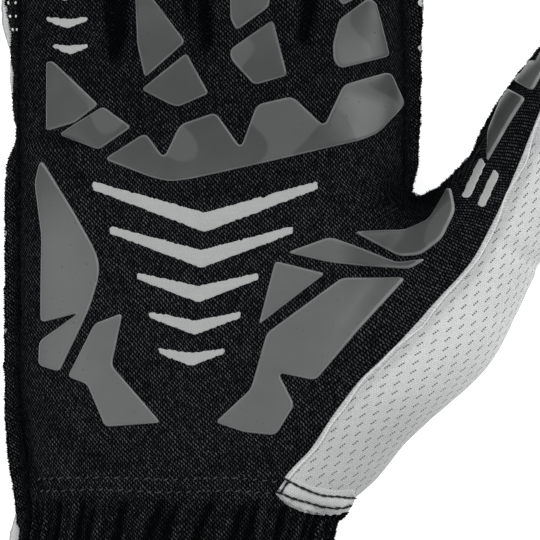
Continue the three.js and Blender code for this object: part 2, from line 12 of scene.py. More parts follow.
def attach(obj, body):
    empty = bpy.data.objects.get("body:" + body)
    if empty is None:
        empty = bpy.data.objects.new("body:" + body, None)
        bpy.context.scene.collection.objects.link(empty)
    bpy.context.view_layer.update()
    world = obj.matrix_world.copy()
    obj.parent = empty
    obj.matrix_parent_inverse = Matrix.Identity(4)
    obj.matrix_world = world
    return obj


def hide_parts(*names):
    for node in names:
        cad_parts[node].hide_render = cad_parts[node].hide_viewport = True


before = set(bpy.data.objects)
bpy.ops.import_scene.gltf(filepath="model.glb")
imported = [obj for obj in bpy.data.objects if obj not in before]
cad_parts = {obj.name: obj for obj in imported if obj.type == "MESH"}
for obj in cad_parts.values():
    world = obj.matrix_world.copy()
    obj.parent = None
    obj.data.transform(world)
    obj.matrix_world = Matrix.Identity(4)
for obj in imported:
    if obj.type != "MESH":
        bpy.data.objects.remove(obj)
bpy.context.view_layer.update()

# Driving sizes
SHIFT = np.array([-12.435, -17.335, 0.0])
WALL = 1.6
GRID_STEP = 0.87
CUFF_END = -115.0
WRIST_SEAM = -54.0
PALM_SQUARENESS = 2.5
FINGER_SQUARENESS = 2.25
THUMB_SQUARENESS = 2.2
FINGER_ROOT = 46.0
FINGER_CREASE = 65.0
FINGER_HEIGHT_SHARE = 0.96
FINGER_TIP_TAPER = 0.86
FINGER_CAP_SHARE = 1.05
PALM_CAP = 3.0
THUMB_CAP = 12.0
THUMB_RISE = 0.2
THUMB_ANGLE = math.radians(59)
THUMB_GIRTH = 15.5
INNER_CAP = 7.0
OUTER_EDGE = 3.4
FINGER_EDGE = 2.4
INNER_EDGE = 0.9
TIP_EDGE = 1.8
CROTCH_EDGE = 1.3
WEB_EDGE = 0.4
THUMB_EDGE = 0.5
CUFF_EDGE = 0.55
EDGE_LAYER = 0.75
EDGE_GAP = 0.02
BLACK_FRAY = 0.16
LIGHT_FRAY = 0.12
LIGHT_SET_BACK = 0.2
LEAST_EDGE = 0.15
TACKS_FROM = 57.4
TACKS_TO = 112.0
TACK_COLUMNS = (0.28, 0.78)
FAR = 1000.0

# Places that part the seam edge: the outer sides, the rows of the web, the rims and the tips
LEFT_SIDE = -50
RIGHT_SIDE = 16
WEB_ROW = 21
RIMS_TO = 68
TIPS_FROM = 80

# Bonded pieces: thickness, rounding of the rim, spacing of the points
PAD = (0.85, 0.42, 1.1)
TRIM = (0.28, 0.2, 0.9)
HEM_THICKNESS = 0.95
HEM = (HEM_THICKNESS, 0.8, 0.7)
HEM_SINK = 0.42
PATCH_SINK = 0.12
PATCH_UNDER = 0.35
TRIM_FRAY = 0.09

# Rows of points inside a rim, as shares of its rounding, and how much of that distance they keep
RIM_ROWS = (0.25, 0.7, 1.5, 2.6)
ROW_CLEAR = 0.93

# Thumb cord and the ridge on it: width, height
CORD = (1.4, 0.85)
RIDGE = (0.46, 0.42)

# Stitches and fibres: pitch, length, thickness, sway, seed
HEM_STITCH = (1.9, 2.4, 0.64, 0.0, 3)
WRIST_STITCH = (2.3, 1.5, 0.34, 0.4, 4)
EDGE_TACK = (3.1, 0.9, 0.6, 0.25, 6)
EDGE_FIBRE = (0.26, 0.46, 0.3, 0.95, 5)

# First seeds of what is frayed
BLACK_EDGE_SEED = 11
LIGHT_EDGE_SEED = 21
TRIM_SEED = 40

# Heights over the table that a look for the cloth starts from, straight down or to the nearest
LOOK_DOWN_FROM = 80
LOOK_NEAR_FROM = 25

# Box that the skin is meshed in, its smallest height over the table, and reaches for slopes and cuts
SKIN_LOW = np.array([-66.0, CUFF_END - 2.4, -2.0])
SKIN_HIGH = np.array([96.0, 151.0, 46.0])
LOWEST = 0.02
SLOPE_REACH = 0.4
CUT_SNAP = 0.12

# Reach of the fillets between the limbs, and along the table
THUMB_FILLET = 7
WEB_FILLET = 5
HEM_FILLET = 1.5
FINGER_FILLET = 1.5
KNUCKLE_FILLET = 4
TABLE_FILLET = 2

# Palm and wrist: along, across, height, half width, half height, cup
PALM = np.array([
    (-135, -24.5, 19, 38.5, 20, 0),
    (-84, -23.6, 18, 37.2, 19.4, 0),
    (-60, -21, 17, 36.8, 18, 0),
    (-48, -17.8, 16.5, 40.6, 18, 0.6),
    (-30, -15.5, 16, 44.5, 18.2, 2.2),
    (-8, -14, 15.5, 46, 17.8, 3.2),
    (16, -13.8, 15, 46.2, 17, 3),
    (38, -14, 14, 46.2, 15.8, 1.6),
    (54, -14.2, 13.5, 45.6, 14, 0.4),
    (64, -14.3, 13.3, 44.5, 11.6, 0),
    (70, -14.3, 13.3, 42.5, 8.5, 0),
    (73, -14.3, 13.3, 40, 4.5, 0),
])

# Seam between palm and back, and middle of the fingers: along, height
SEAM = np.array([
    (-135, 19), (-60, 17), (-20, 15.5), (30, 14), (60, 13.3), (80, 14.4), (100, 17.6), (122, 23), (150, 32),
])

# The same seam on the thumb, along the thumb's own axis: along, height
THUMB_SEAM = np.array([(-60, -20), (22, 10), (34, 15.4), (50, 21), (66, 26.4), (82, 30.2), (110, 35.8)])
THUMB_ZONE = [(36, -FAR), (FAR, -FAR), (FAR, 100), (60, 100), (36, 25)]
THUMB_SIDE = [(44, 14), (FAR, 14), (FAR, 100), (52, 100)]

# Fingers, little to index: across at the crease, lean, tip, width
FINGERS = [
    (-49.8, -0.09, 119, 19.4),
    (-26.8, -0.036, 141, 20.8),
    (-3.2, 0.004, 148, 22.2),
    (20.6, 0.038, 139, 21.2),
]

# Thumb, in axes turned by THUMB_ANGLE: along, across, height, half width, half height
THUMB = np.array([
    (-46, 29, 14.5, 8, 9),
    (-39, 30.7, 15.1, 12.2, 12.8),
    (-30, 32.5, 16, 15, 15.2),
    (-18, 34.3, 16.8, 15.5, 16.8),
    (-6, 36.4, 17.6, 16.8, 17.6),
    (8, 38.9, 18.6, 18, 17.4),
    (22, 39.7, 20, 16.3, 16.2),
    (34, 40.2, 21.6, 14.8, 14.8),
    (45, 41.1, 23.4, 13.7, 13.4),
    (57, 40.5, 25.4, 14, 13),
    (70, 40.6, 27.8, 13.5, 12.6),
    (83, 41.3, 30.4, 12.3, 11.6),
])

# Web between thumb and index finger, along X: along, across, height, half width, half height
WEB = np.array([
    (16, 2, 16.5, 6, 9),
    (24, 4.2, 17, 9.4, 11.4),
    (31, 5.6, 17.3, 10.4, 12),
    (36, 6.6, 17.6, 10.3, 12),
    (41, 8.8, 18, 10.5, 12),
    (46, 12.4, 18.4, 10.6, 11.6),
    (50, 16, 18.8, 8, 8.5),
])

# Corner where the turned-up hem stands proud of the wrist: middle, reach
HEM_CORNER = (13.4, -55.7, 17)
HEM_CORNER_REACH = (6.4, 3.8, 12.5)

# Seam lines seen from above
PIPING = [
    (1.4, -53.4), (4.6, -49), (10.3, -43), (15.6, -35), (21.6, -27.2), (27.7, -21.2), (33.7, -15),
    (40.3, -7.6), (45.6, -2), (50, 4), (54.6, 13), (58.4, 21.6), (61.7, 29.6), (65.2, 38.4), (69.8, 49.6),
    (74.6, 59.4), (79, 68),
]
THUMB_HEM = [(1.4, -53.4), (4, -56), (9, -58.2), (14.8, -59), (20.5, -57), (30, -53)]
PAST_THUMB = [(110, 100), (FAR, 60), (FAR, -53)]
HEM_BAND = [
    (2, -53.7), (4.2, -55.8), (7, -57.3), (9.4, -57.8), (12, -58.4), (14.8, -58.6), (17, -58.3),
    (18.4, -57.9), (19.5, -57), (20, -55.4), (20.5, -53.4), (20.4, -52.4), (15.4, -52.6),
    (10, -51.6), (5.2, -49.2),
]
HEM_ROWS = [
    [(4.3, -50.4), (9.5, -52.7), (13.3, -53.9), (16.7, -54.5), (18.8, -54.4), (19.7, -54.1)],
    [(2.2, -53.1), (7.2, -54.9), (11.4, -55.9), (15.2, -56.5), (17.6, -56.5), (18.8, -56)],
]
HEM_TACK = [(4.2, -51), (3.5, -51.9), (2.9, -52.9)]
HEM_RIPPLE = 0.28
HEM_RIPPLE_PITCH = 2.1
HEM_SHADE = 0.5
HEM_FADE = 1.1
WRIST_ROWS = [
    [(-55.2, -50), (-40, -49.6), (-25, -50.1), (-10, -49.7), (1.2, -50.6)],
    [(-54.6, -53), (-40, -52.5), (-25, -53.1), (-10, -52.7), (-0.6, -53.3)],
]

# Section of the raw seam edge: share of its reach, or millimetres back into the seam; share of its height
EDGE_SECTION = [(-1.3, 0), (0.35, 0), (0.75, 0.25), (1, 0.5), (0.75, 0.85), (0.35, 1), (-1.3, 1)]

# Rim of the raw seam edge seen from above, on the little-finger side and on the index side: along, across
LEFT_RIM = np.array([
    (-115, -58.6), (-80, -59.4), (-64, -60.2), (-58, -60.9), (-50, -62), (-38, -63.5), (19, -63.6),
    (25, -63.2), (27.6, -62.5), (30.4, -60.9), (33, -60.8), (36, -61.4), (42, -61.9), (44.4, -61.4),
    (48, -61.7), (52.5, -62.4), (56, -61.8), (59, -62.5), (61, -63.3), (66, -63.8),
])
RIGHT_RIM = np.array([(21, 35.2), (24, 35.4), (36, 36.1), (50, 36.3), (66, 36.5)])

# How far the light cloth shows past the black rim: on the little-finger side by along, and at a few spots
LIGHT_BEYOND = np.array([
    (-115, 0.2), (-90, 1.8), (-70, 3.4), (-64.8, 2.8), (-60, 1), (-57.6, 0), (9, 0), (13, 0.4),
    (18, 0.4), (21, 0), (38.5, 0), (42, 0.6), (45, 1.1), (50, 0.5), (52.5, 0.3), (55, 1.7), (58.5, 2),
    (62, 1.3), (67, 1),
])
LIGHT_SPOTS = [(47.4, 26.2, 2.6, 0.7), (35.2, 17.4, 1.3, 1.1), (36.4, 62, 8, 0.8), (36.4, 80, 12, 0.5)]

# Grip pads: name, how far corners are rounded back, corners; a third number is that corner's own rounding
PADS = [
    ("grip_little_base", 1, [(-53.5, 50), (-51.9, 50), (-41, 39.6), (-46.8, 35.2), (-53.5, 33.2)]),
    ("grip_little_lower", 1, [(-50.6, 32.5), (-40, 39.2), (-33.1, 34.2), (-41, 28.7)]),
    ("grip_knuckle_band", 1.6, [
        (-39.8, 26.5), (-29.8, 32.9), (-25.4, 26.8), (-21.6, 34.8), (-13, 37.8), (-7, 29.2), (-3.2, 39.6),
        (5.4, 41.6), (12.9, 34.4), (17.6, 44.4), (28.8, 47.6), (32.2, 39.8), (26, 32.8), (22, 31.1),
        (-2.4, 25.4), (-18.7, 21.8), (-24, 21.1), (-28.6, 22.2),
    ]),
    ("grip_ring_base", 1, [(-30.9, 43.2), (-20, 52), (-14.6, 42.2), (-22, 39), (-24.2, 39.7)]),
    ("grip_ring_middle", 1.2, [(-32.5, 71), (-31.8, 54), (-30, 45.9), (-20.2, 54.6)]),
    ("grip_middle_base", 1.2, [(-9.6, 52.8), (0.7, 60), (4.2, 46.5), (-3.8, 44.2), (-9.4, 50.4)]),
    ("grip_middle_middle", 1, [(-9.8, 76), (-9.5, 60), (-8, 57.3), (-0.2, 63), (0.8, 73), (-4, 80)]),
    ("grip_index_base", 1.2, [
        (15, 54), (16.5, 60), (23.5, 65.2), (25.4, 64.2), (28.6, 51.2), (16.8, 48.2), (15.2, 50),
    ]),
    ("grip_index_middle", 1, [(15.8, 76), (16.2, 65), (17.4, 63.3), (26, 68), (25, 78), (20, 80.5)]),
    ("grip_little_tip", 2, [(-58.6, 111), (-50.2, 111.6), (-49.4, 98), (-57, 97)]),
    ("grip_ring_tip", 2, [(-34.6, 132), (-25, 132.6), (-24, 115), (-33.4, 114)]),
    ("grip_middle_tip", 2, [(-8, 139), (2.4, 139), (2.4, 121), (-8, 121)]),
    ("grip_index_tip", 2, [(18.4, 130), (28.2, 129.6), (27.4, 113), (17.6, 113.4)]),
    ("grip_heel_outer", 1.2, [
        (-56.2, 21), (-54.9, 26.4), (-53.6, 24.8), (-46.6, 13.4), (-40, 1.6, 5), (-43, -9, 4),
        (-50.4, -24.4), (-55.3, -22.8), (-55.1, -17), (-46, -10.4, 0.6), (-54.8, -12.6), (-54.8, -3),
        (-54.6, 8),
    ]),
    ("grip_heel_inner", 1.2, [
        (-42, -12.8), (-35.2, -10.2), (-37.8, -22.8), (-26, -36.5), (-39.4, -37.5), (-43.8, -27.2),
        (-48.4, -25.6),
    ]),
    ("grip_thumb_wedge", 1, [(1.2, 2.2), (13.3, -0.8), (-2.8, -13.2)]),
    ("grip_leaf_lower", 1.6, [
        (3.8, 4.2), (14.4, 8), (21.6, 5.4), (30.5, 1.8), (37.6, 2.8), (33.4, 0.2), (21.6, 1), (14.2, 1.8),
    ]),
    ("grip_leaf_upper", 1.6, [
        (19.8, 9.2), (32.6, 9.7), (38, 12), (43.2, 20.4), (44.3, 14.2), (41, 7.4), (36, 3.6), (31, 3.2),
    ]),
    ("grip_heel_thumb", 1.4, [
        (-0.8, -15), (17.2, -1.8), (32.6, -1.8), (21.6, -13.8), (10.9, -26.4), (2, -24.6), (5.9, -32.2),
        (1.4, -39.5), (-6, -38.8), (-13.2, -36.4), (-4.6, -28.4),
    ]),
    ("grip_thumb_low", 0.8, [(56.6, 43.6), (61, 41), (57.7, 35.9), (51.8, 25.6), (52.2, 33.2)]),
    ("grip_thumb_middle", 1, [(58.2, 45.2), (62.6, 42.6), (69, 54), (65.6, 56.4)]),
    ("grip_thumb_tip", 1.4, [(68.4, 59.8), (71.8, 57.6), (77, 66.6), (74, 69)]),
]

# Chevrons: tip, reach of each arm, thickness at the middle
CHEVRON_ARM_SHARE = 0.42
CHEVRON_RISE = 0.38
PALM_CHEVRONS = [
    ((-15.6, 9), 27, 4.8), ((-16.4, 0.4), 22, 4.4), ((-17.2, -7.8), 14.5, 4), ((-18, -15.6), 11, 3.6),
    ((-18.8, -23), 8, 3.2),
]
LITTLE_CHEVRONS = [((-49.2, 64.4), 5.6, 2.6), ((-48.6, 57.8), 5, 2.4), ((-47.8, 51.6), 4.3, 2.2)]
THUMB_BARS = [
    [(45.6, 17.6), (47.6, 17), (51.6, 25.6), (50.2, 27)],
    [(49.2, 15.6), (51.2, 15), (54.8, 22.8), (53.4, 24.2)],
]

# Folds of the palm seen from above: depth (negative sinks), width, line
FOLDS = [
    (-2.6, 1.7, [(-38.6, 72), (-38.2, 62), (-37.6, 54), (-37.2, 48)]),
    (-2, 1.3, [(-34.4, 70), (-35.4, 60), (-34.8, 52)]),
    (-2.4, 1.8, [(-15.2, 73), (-16, 64), (-15.2, 56), (-16, 50)]),
    (-1.6, 1.2, [(-19.4, 72), (-20, 63), (-18.6, 56)]),
    (-2.4, 1.9, [(8.6, 73), (9.8, 64), (8.4, 57), (10.2, 52)]),
    (-0.9, 1.3, [(-60.5, 31.8), (-54, 31.4), (-48, 30.4), (-42.6, 27.8)]),
    (0.8, 1.5, [(-60, 28.8), (-54, 28.2), (-48, 27), (-41, 24.6)]),
    (-0.8, 1, [(-60.5, 25.4), (-56.8, 24.6)]),
    (-0.7, 1.2, [(-50.4, 24.4), (-46, 22.6), (-41, 20.6)]),
    (-0.5, 2.2, [(37, 12.4), (30, 7), (24, 0.6)]),
    (-0.45, 2.6, [(-33, 16), (-8, 19), (14, 25)]),
    (-0.5, 2.4, [(-58, -34), (-44, -44), (-30, -47)]),
    (-0.4, 2.2, [(6, -44), (-6, -47), (-18, -46)]),
    (-1.2, 1.3, [(-59.4, -31), (-58.9, -41), (-57.6, -48), (-55.7, -51.6), (-53.5, -55.4)]),
]

# Shallow dips across the joints: rows, depth, width
FINGER_CREASES = ([84, 104], 0.75, 1.7)
THUMB_CREASES = ([34, 57], 0.6, 1.9)

# Fine unevenness of the cloth: height, distance between bumps, seed
UNEVENNESS = [(0.28, 15, 1), (0.14, 5.5, 2)]

# Dents and swells beside the seams: height, width, distance from the seam
SEAM_DENTS = [(-0.85, 1.5, 0)]
PIPING_DENTS = [(-0.55, 1.1, 0), (0.3, 1.8, 3)]
HEM_DENTS = [(-0.5, 1.2, 0)]
WRIST_DENTS = [(-0.4, 0.5, 0), (0.3, 0.7, 1.3)]

# Gathers of the cuff: along, share of the full depth
PLEATS = 24
PLEAT_DEPTH = 0.88
GATHER_DEPTH = 0.425
GATHER_PITCH = 3.1
PLEAT_ROWS = np.array([(-135, 0.1), (-110, 0.2), (-84, 0.75), (-66, 1), (-57, 0.8), (-54, 0.25), (-50, 0)])

# Shade in valleys and folds, between the fingers, beside the thumb seam and on the leaf pads
VALLEY_REACH = 3.2
PALM_VALLEY_REACH = 7.0
FULL_FOLD = 1.5
FULL_PLEAT = 0.9
FINGER_SHADE = 0.34
WEB_SHADE = 0.97
CORD_SHADE = 0.62
THUMB_END_SHADE = 0.55
INDEX_EDGE_SHADE = 0.55
LEAF_PAD_SHADE = 0.9
WEB_CROTCH = np.array([35.5, 17.5])
WEB_SPREAD = np.array([12.0, 9.0])

# Turn of the knit towards the thumb, and the height over which it runs down the web
KNIT_TURN = 0.3
WEB_TOP = 29.5
THUMB_OVER_WEB = 6.8

# Pitches of the knits and the cord's twist
KNIT_WIDE = 1.12
KNIT_TALL = 1.16
MESH_ROW = 2.17
MESH_PITCH = 2.93
HOLE_PITCH = 0.58
DASH_TILT = math.radians(14)
CORD_TWIST = 0.75

# Colours as linear red, green and blue; a pair runs from the darker to the lighter tone
KNIT_GAP = (0.0012, 0.0014, 0.0018)
YARN_TINT = (0.94, 1.0, 1.08)
GLINT_TINT = (0.95, 1.0, 1.04)
MESH_TONES = [(0.46, 0.468, 0.468), (0.63, 0.637, 0.635)]
MESH_SHADE = (0.27, 0.275, 0.28)
MESH_HOLE = (0.13, 0.134, 0.137)
# Pads: a lit and a shaded copy of one grey as painted shade, painted reflections on the shaded one, and a
# painted highlight on the rims
PAD_LIT = [(0.073, 0.079, 0.078), (0.089, 0.097, 0.094)]
PAD_SHADED = [(0.03, 0.0335, 0.0325), (0.042, 0.0465, 0.0448)]
PAD_GLARE = (0.066, 0.071, 0.069)
PAD_RIM_HIGHLIGHT = (0.24, 0.257, 0.248)
PAD_SPECK = (0.04, 0.045, 0.043)
FILM_TONES = [(0.26, 0.268, 0.264), (0.32, 0.329, 0.323)]
# Painted highlight along the rims of the silver trim
FILM_RIM_HIGHLIGHT = (0.42, 0.43, 0.422)
FLOOR_TONES = [(0.88, 0.88, 0.885), (0.92, 0.92, 0.92)]
CORD_TONES = {
    "piping_cloth": [(0.27, 0.275, 0.28), (0.52, 0.525, 0.52)],
    # The ridge's lighter tones are a painted highlight along the fold of the thumb cord
    "highlit_ridge_cord": [(0.46, 0.465, 0.46), (0.66, 0.665, 0.655)],
}
THREAD_TONES = {
    "black_thread": [(0.003, 0.003, 0.004), (0.012, 0.0125, 0.014)],
    "charcoal_thread": [(0.015, 0.016, 0.018), (0.075, 0.077, 0.08)],
    "light_thread": [(0.5, 0.5, 0.5), (0.85, 0.85, 0.84)],
}

# Studio in metres: lamps as name, place, size, power
LAMPS = [
    ("key", (0.6, 0.3, 0.75), (0.5, 0.5), 5.2),
    ("fill", (-0.6, -0.1, 0.6), (0.6, 0.6), 2.0),
    ("top", (-0.1, 0.65, 0.9), (0.9, 0.35), 2.6),
    ("overhead", (-0.34, 0.0, 1.0), (0.5, 0.7), 1.0),
]
LAMP_TARGET = (0.0, 0.0, 0.02)
FLOOR_REACH = 2
FLOOR_GLOW = 0.6
WORLD_LIGHT = 0.55
WHITE = (1, 1, 1, 1)

# Camera, straight over a place on the glove: its height over it, its sensor in millimetres, what it frames
CAMERA_OVER = (0, 0, 18)
CAMERA_HEIGHT = 3.0
SENSOR = 36.0
FRAME_WIDTH = 0.1296


def smooth_step(low, high, value):
    """0 below low, 1 above high and a soft rise between them."""
    t = np.clip((value - low) / (high - low), 0, 1)
    return t * t * (3 - 2 * t)


def bump(away, width, at=0.0):
    """1 where away is at, falling off softly over width."""
    return np.exp(-((away - at) / width) ** 2)


def curve_at(table, along):
    """The columns after the first, smoothly interpolated at every value of along."""
    flat = np.ravel(along)
    i = np.clip(np.searchsorted(table[:, 0], flat) - 1, 0, len(table) - 2)
    before, a = table[np.maximum(i - 1, 0)], table[i]
    b, after = table[i + 1], table[np.minimum(i + 2, len(table) - 1)]
    width = b[:, :1] - a[:, :1]
    t = np.clip((flat[:, None] - a[:, :1]) / width, 0, 1)
    start = (b - before) / (b[:, :1] - before[:, :1]) * width
    end = (after - a) / (after[:, :1] - a[:, :1]) * width
    found = a * (2 * t**3 - 3 * t**2 + 1) + start * (t**3 - 2 * t**2 + t)
    found += b * (3 * t**2 - 2 * t**3) + end * (t**3 - t**2)
    return found[:, 1:].T.reshape(table.shape[1] - 1, *np.shape(along))


def seam_height(along):
    return curve_at(SEAM, along)[0]


# The form of the hand

def oval_distance(u, v, half_width, half_height, squareness, beyond, cap):
    """Distance to a squared oval, negative inside; beyond runs past the last section into its round cap."""
    section = np.abs(u / half_width) ** squareness + np.abs(v / half_height) ** squareness
    section = section ** (1 / squareness)
    reach = np.sqrt(section**2 + (beyond / cap) ** 2)
    radius = np.sqrt(u * u + v * v + beyond * beyond) + 1e-6
    return radius - radius / np.maximum(reach, 1e-6)


def palm_distance(x, y, z):
    across, height, half_width, half_height, cup = curve_at(PALM, y)
    u = x - across
    v = z - height
    middle = np.maximum(0, 1 - (u / half_width) ** 2) ** 2
    v = v + cup * middle * smooth_step(0, 0.6, v / half_height)
    beyond = np.maximum(y - PALM[-1, 0], 0)
    return oval_distance(u, v, half_width, half_height, PALM_SQUARENESS, beyond, PALM_CAP)


def finger_section(finger, y):
    """Middle, half width and the start of the cap of a finger at y."""
    across, lean, tip, width = finger
    cap = width / 2 * FINGER_CAP_SHARE
    share = np.clip((y - FINGER_CREASE) / (tip - cap - FINGER_CREASE), 0, 1)
    half = width / 2 * (1 - (1 - FINGER_TIP_TAPER) * share**2)
    return across + lean * (y - FINGER_CREASE), half, tip - cap, cap


def finger_distance(finger, x, y, z):
    across, half, cap_start, cap = finger_section(finger, y)
    beyond = np.maximum(np.maximum(y - cap_start, 0) / cap, np.maximum(FINGER_ROOT - y, 0) / INNER_CAP) * cap
    return oval_distance(
        x - across, z - seam_height(y), half, half * FINGER_HEIGHT_SHARE, FINGER_SQUARENESS, beyond, cap
    )


def thumb_axes(x, y):
    """Distance along the thumb's axis and across it."""
    c, s = math.cos(THUMB_ANGLE), math.sin(THUMB_ANGLE)
    return x * c + y * s, x * s - y * c


def thumb_distance(x, y, z):
    along, side = thumb_axes(x, y)
    across, height, half_width, half_height = curve_at(THUMB, along)
    start, end = THUMB[0, 0], THUMB[-1, 0]
    past = np.maximum(along - end, 0)
    beyond = np.maximum(past / THUMB_CAP, np.maximum(start - along, 0) / INNER_CAP) * THUMB_CAP
    v = z - height - THUMB_RISE * past
    return oval_distance(side - across, v, half_width, half_height, THUMB_SQUARENESS, beyond, THUMB_CAP)


def web_distance(x, y, z):
    across, height, half_width, half_height = curve_at(WEB, x)
    beyond = np.maximum(np.maximum(x - WEB[-1, 0], 0), np.maximum(WEB[0, 0] - x, 0))
    u, v = y - across, z - height
    return oval_distance(u, v, half_width, half_height, THUMB_SQUARENESS, beyond, INNER_CAP)


def hem_corner_distance(x, y, z):
    (across, along, height), (half_width, cap, half_height) = HEM_CORNER, HEM_CORNER_REACH
    return oval_distance(x - across, z - height, half_width, half_height, THUMB_SQUARENESS, y - along, cap)


def blended(a, b, reach):
    """The union of two distances, filleted where they meet."""
    overlap = np.maximum(reach - np.abs(a - b), 0) / reach
    return np.minimum(a, b) - overlap * overlap * reach / 4


def hand_distance(x, y, z):
    """Distance to the glove's smooth outer skin, flat where it rests on the table."""
    whole = blended(palm_distance(x, y, z), thumb_distance(x, y, z), THUMB_FILLET)
    whole = blended(whole, web_distance(x, y, z), WEB_FILLET)
    whole = blended(whole, hem_corner_distance(x, y, z), HEM_FILLET)
    fingers = finger_distance(FINGERS[0], x, y, z)
    for finger in FINGERS[1:]:
        fingers = blended(fingers, finger_distance(finger, x, y, z), FINGER_FILLET)
    return -blended(-blended(whole, fingers, KNUCKLE_FILLET), z, TABLE_FILLET)


def slope_at(points):
    """Unit normals of the skin at points."""
    slopes = np.empty_like(points)
    for axis in range(3):
        step = np.zeros(3)
        step[axis] = SLOPE_REACH
        slopes[:, axis] = hand_distance(*(points + step).T) - hand_distance(*(points - step).T)
    return slopes / np.linalg.norm(slopes, axis=1, keepdims=True)


def surface_net(values, origin, step):
    """Points and quads where a grid of values changes sign, one point in each mixed cell."""
    cells = tuple(n - 1 for n in values.shape)
    total = np.zeros((*cells, 3), np.float32)
    count = np.zeros(cells, np.float32)
    crossings = []
    for axis in range(3):
        size = values.shape[axis]
        a = values.take(range(size - 1), axis)
        b = values.take(range(1, size), axis)
        crossing = (a < 0) != (b < 0)
        share = np.where(crossing, a / np.where(crossing, a - b, 1), 0)
        crossings.append((crossing, a < 0))
        sides = [other for other in range(3) if other != axis]
        for first in (0, 1):
            for second in (0, 1):
                window = [slice(None)] * 3
                window[sides[0]] = slice(first, first + cells[sides[0]])
                window[sides[1]] = slice(second, second + cells[sides[1]])
                here = crossing[tuple(window)]
                count += here
                total[..., axis] += share[tuple(window)]
                total[..., sides[0]] += here * first
                total[..., sides[1]] += here * second
    found = np.argwhere(count > 0)
    index = np.full(cells, -1, np.int64)
    index[tuple(found.T)] = np.arange(len(found))
    points = origin + step * (found + total[tuple(found.T)] / count[tuple(found.T)][:, None])
    quads = []
    for axis, (crossing, starts_inside) in enumerate(crossings):
        sides = [other for other in range(3) if other != axis]
        at = np.argwhere(crossing)
        inner = (at[:, sides[0]] > 0) & (at[:, sides[1]] > 0)
        inner &= (at[:, sides[0]] < cells[sides[0]]) & (at[:, sides[1]] < cells[sides[1]])
        at = at[inner]
        loop = []
        for back_first, back_second in ((1, 1), (0, 1), (0, 0), (1, 0)):
            cell = at.copy()
            cell[:, sides[0]] -= back_first
            cell[:, sides[1]] -= back_second
            loop.append(index[tuple(cell.T)])
        quad = np.stack(loop, axis=1)
        flip = starts_inside[tuple(at.T)] == (axis == 1)
        quad[flip] = quad[flip, ::-1]
        quads.append(quad)
    return points, np.concatenate(quads)


def triangles_of(points, quads):
    """Each quad as two triangles, split along its shorter diagonal."""
    first = np.linalg.norm(points[quads[:, 0]] - points[quads[:, 2]], axis=1)
    second = np.linalg.norm(points[quads[:, 1]] - points[quads[:, 3]], axis=1)
    turned = np.where((first > second)[:, None], np.roll(quads, -1, axis=1), quads)
    return np.concatenate([turned[:, [0, 1, 2]], turned[:, [0, 2, 3]]])


def cut_along(points, triangles, level_at):
    """The mesh with every triangle that the zero line of a level crosses split there."""
    level = level_at(points)
    level[np.abs(level) < CUT_SNAP] = 0
    side = np.sign(level)[triangles]
    mixed = (side.min(axis=1) < 0) & (side.max(axis=1) > 0)
    kept, crossed = triangles[~mixed], triangles[mixed]
    edges = np.sort(np.concatenate([crossed[:, [0, 1]], crossed[:, [1, 2]], crossed[:, [2, 0]]]), axis=1)
    edges = edges[level[edges[:, 0]] * level[edges[:, 1]] < 0]
    edges = np.unique(edges, axis=0)
    a, b = level[edges[:, 0]], level[edges[:, 1]]
    share = (a / (a - b))[:, None]
    new_points = points[edges[:, 0]] * (1 - share) + points[edges[:, 1]] * share
    on_edge = {(int(p), int(q)): len(points) + i for i, (p, q) in enumerate(edges)}
    pieces = []
    for corners in crossed.tolist():
        ring = []
        for i in range(3):
            p, q = corners[i], corners[(i + 1) % 3]
            ring.append(p)
            middle = on_edge.get((min(p, q), max(p, q)))
            if middle is not None:
                ring.append(middle)
        new = [i for i, corner in enumerate(ring) if corner >= len(points) or level[corner] == 0]
        start, end = new[0], new[1]
        first = ring[start:end + 1]
        second = ring[end:] + ring[:start + 1]
        for loop in (first, second):
            pieces += [[loop[0], loop[i], loop[i + 1]] for i in range(1, len(loop) - 1)]
    return np.concatenate([points, new_points]), np.concatenate([kept, np.array(pieces)])


# Lines and outlines seen from above

def smooth_line(corners, spacing=1.0):
    """A Catmull-Rom curve through the corners, as points about spacing apart."""
    corners = np.array(corners, float)
    padded = np.concatenate([2 * corners[:1] - corners[1:2], corners, 2 * corners[-1:] - corners[-2:-1]])
    line = []
    for p0, p1, p2, p3 in zip(padded, padded[1:], padded[2:], padded[3:]):
        steps = max(1, round(np.linalg.norm(p2 - p1) / spacing))
        for t in np.arange(steps) / steps:
            bend = (2 * p0 - 5 * p1 + 4 * p2 - p3) * t**2 + (3 * p1 - p0 - 3 * p2 + p3) * t**3
            line.append(0.5 * (2 * p1 + (p2 - p0) * t + bend))
    line.append(corners[-1])
    return np.array(line)


def resampled(line, spacing, closed=False):
    """The line as points an even distance apart."""
    if closed:
        line = np.concatenate([line, line[:1]])
    run = np.concatenate([[0], np.cumsum(np.linalg.norm(np.diff(line, axis=0), axis=1))])
    count = max(2, round(run[-1] / spacing))
    at = np.linspace(0, run[-1], count + 1)
    if closed:
        at = at[:-1]
    return np.stack([np.interp(at, run, line[:, axis]) for axis in range(line.shape[1])], axis=1)


def distance_to(line, plan, closed=False):
    """Distance from each plan point to a line."""
    ends = np.concatenate([line[1:], line[:1]]) if closed else line[1:]
    starts = line if closed else line[:-1]
    best = np.full(len(plan), np.inf)
    for start, end in zip(starts, ends):
        run = end - start
        t = np.clip(((plan - start) @ run) / (run @ run), 0, 1)
        best = np.minimum(best, np.linalg.norm(plan - start - t[:, None] * run, axis=1))
    return best


def inside(outline, plan):
    """Whether each plan point lies in a closed outline."""
    found = np.zeros(len(plan), bool)
    for (x0, y0), (x1, y1) in zip(outline, np.roll(outline, -1, axis=0)):
        if y0 == y1:
            continue
        crosses = (plan[:, 1] < y0) != (plan[:, 1] < y1)
        found ^= crosses & (plan[:, 0] < x0 + (plan[:, 1] - y0) / (y1 - y0) * (x1 - x0))
    return found


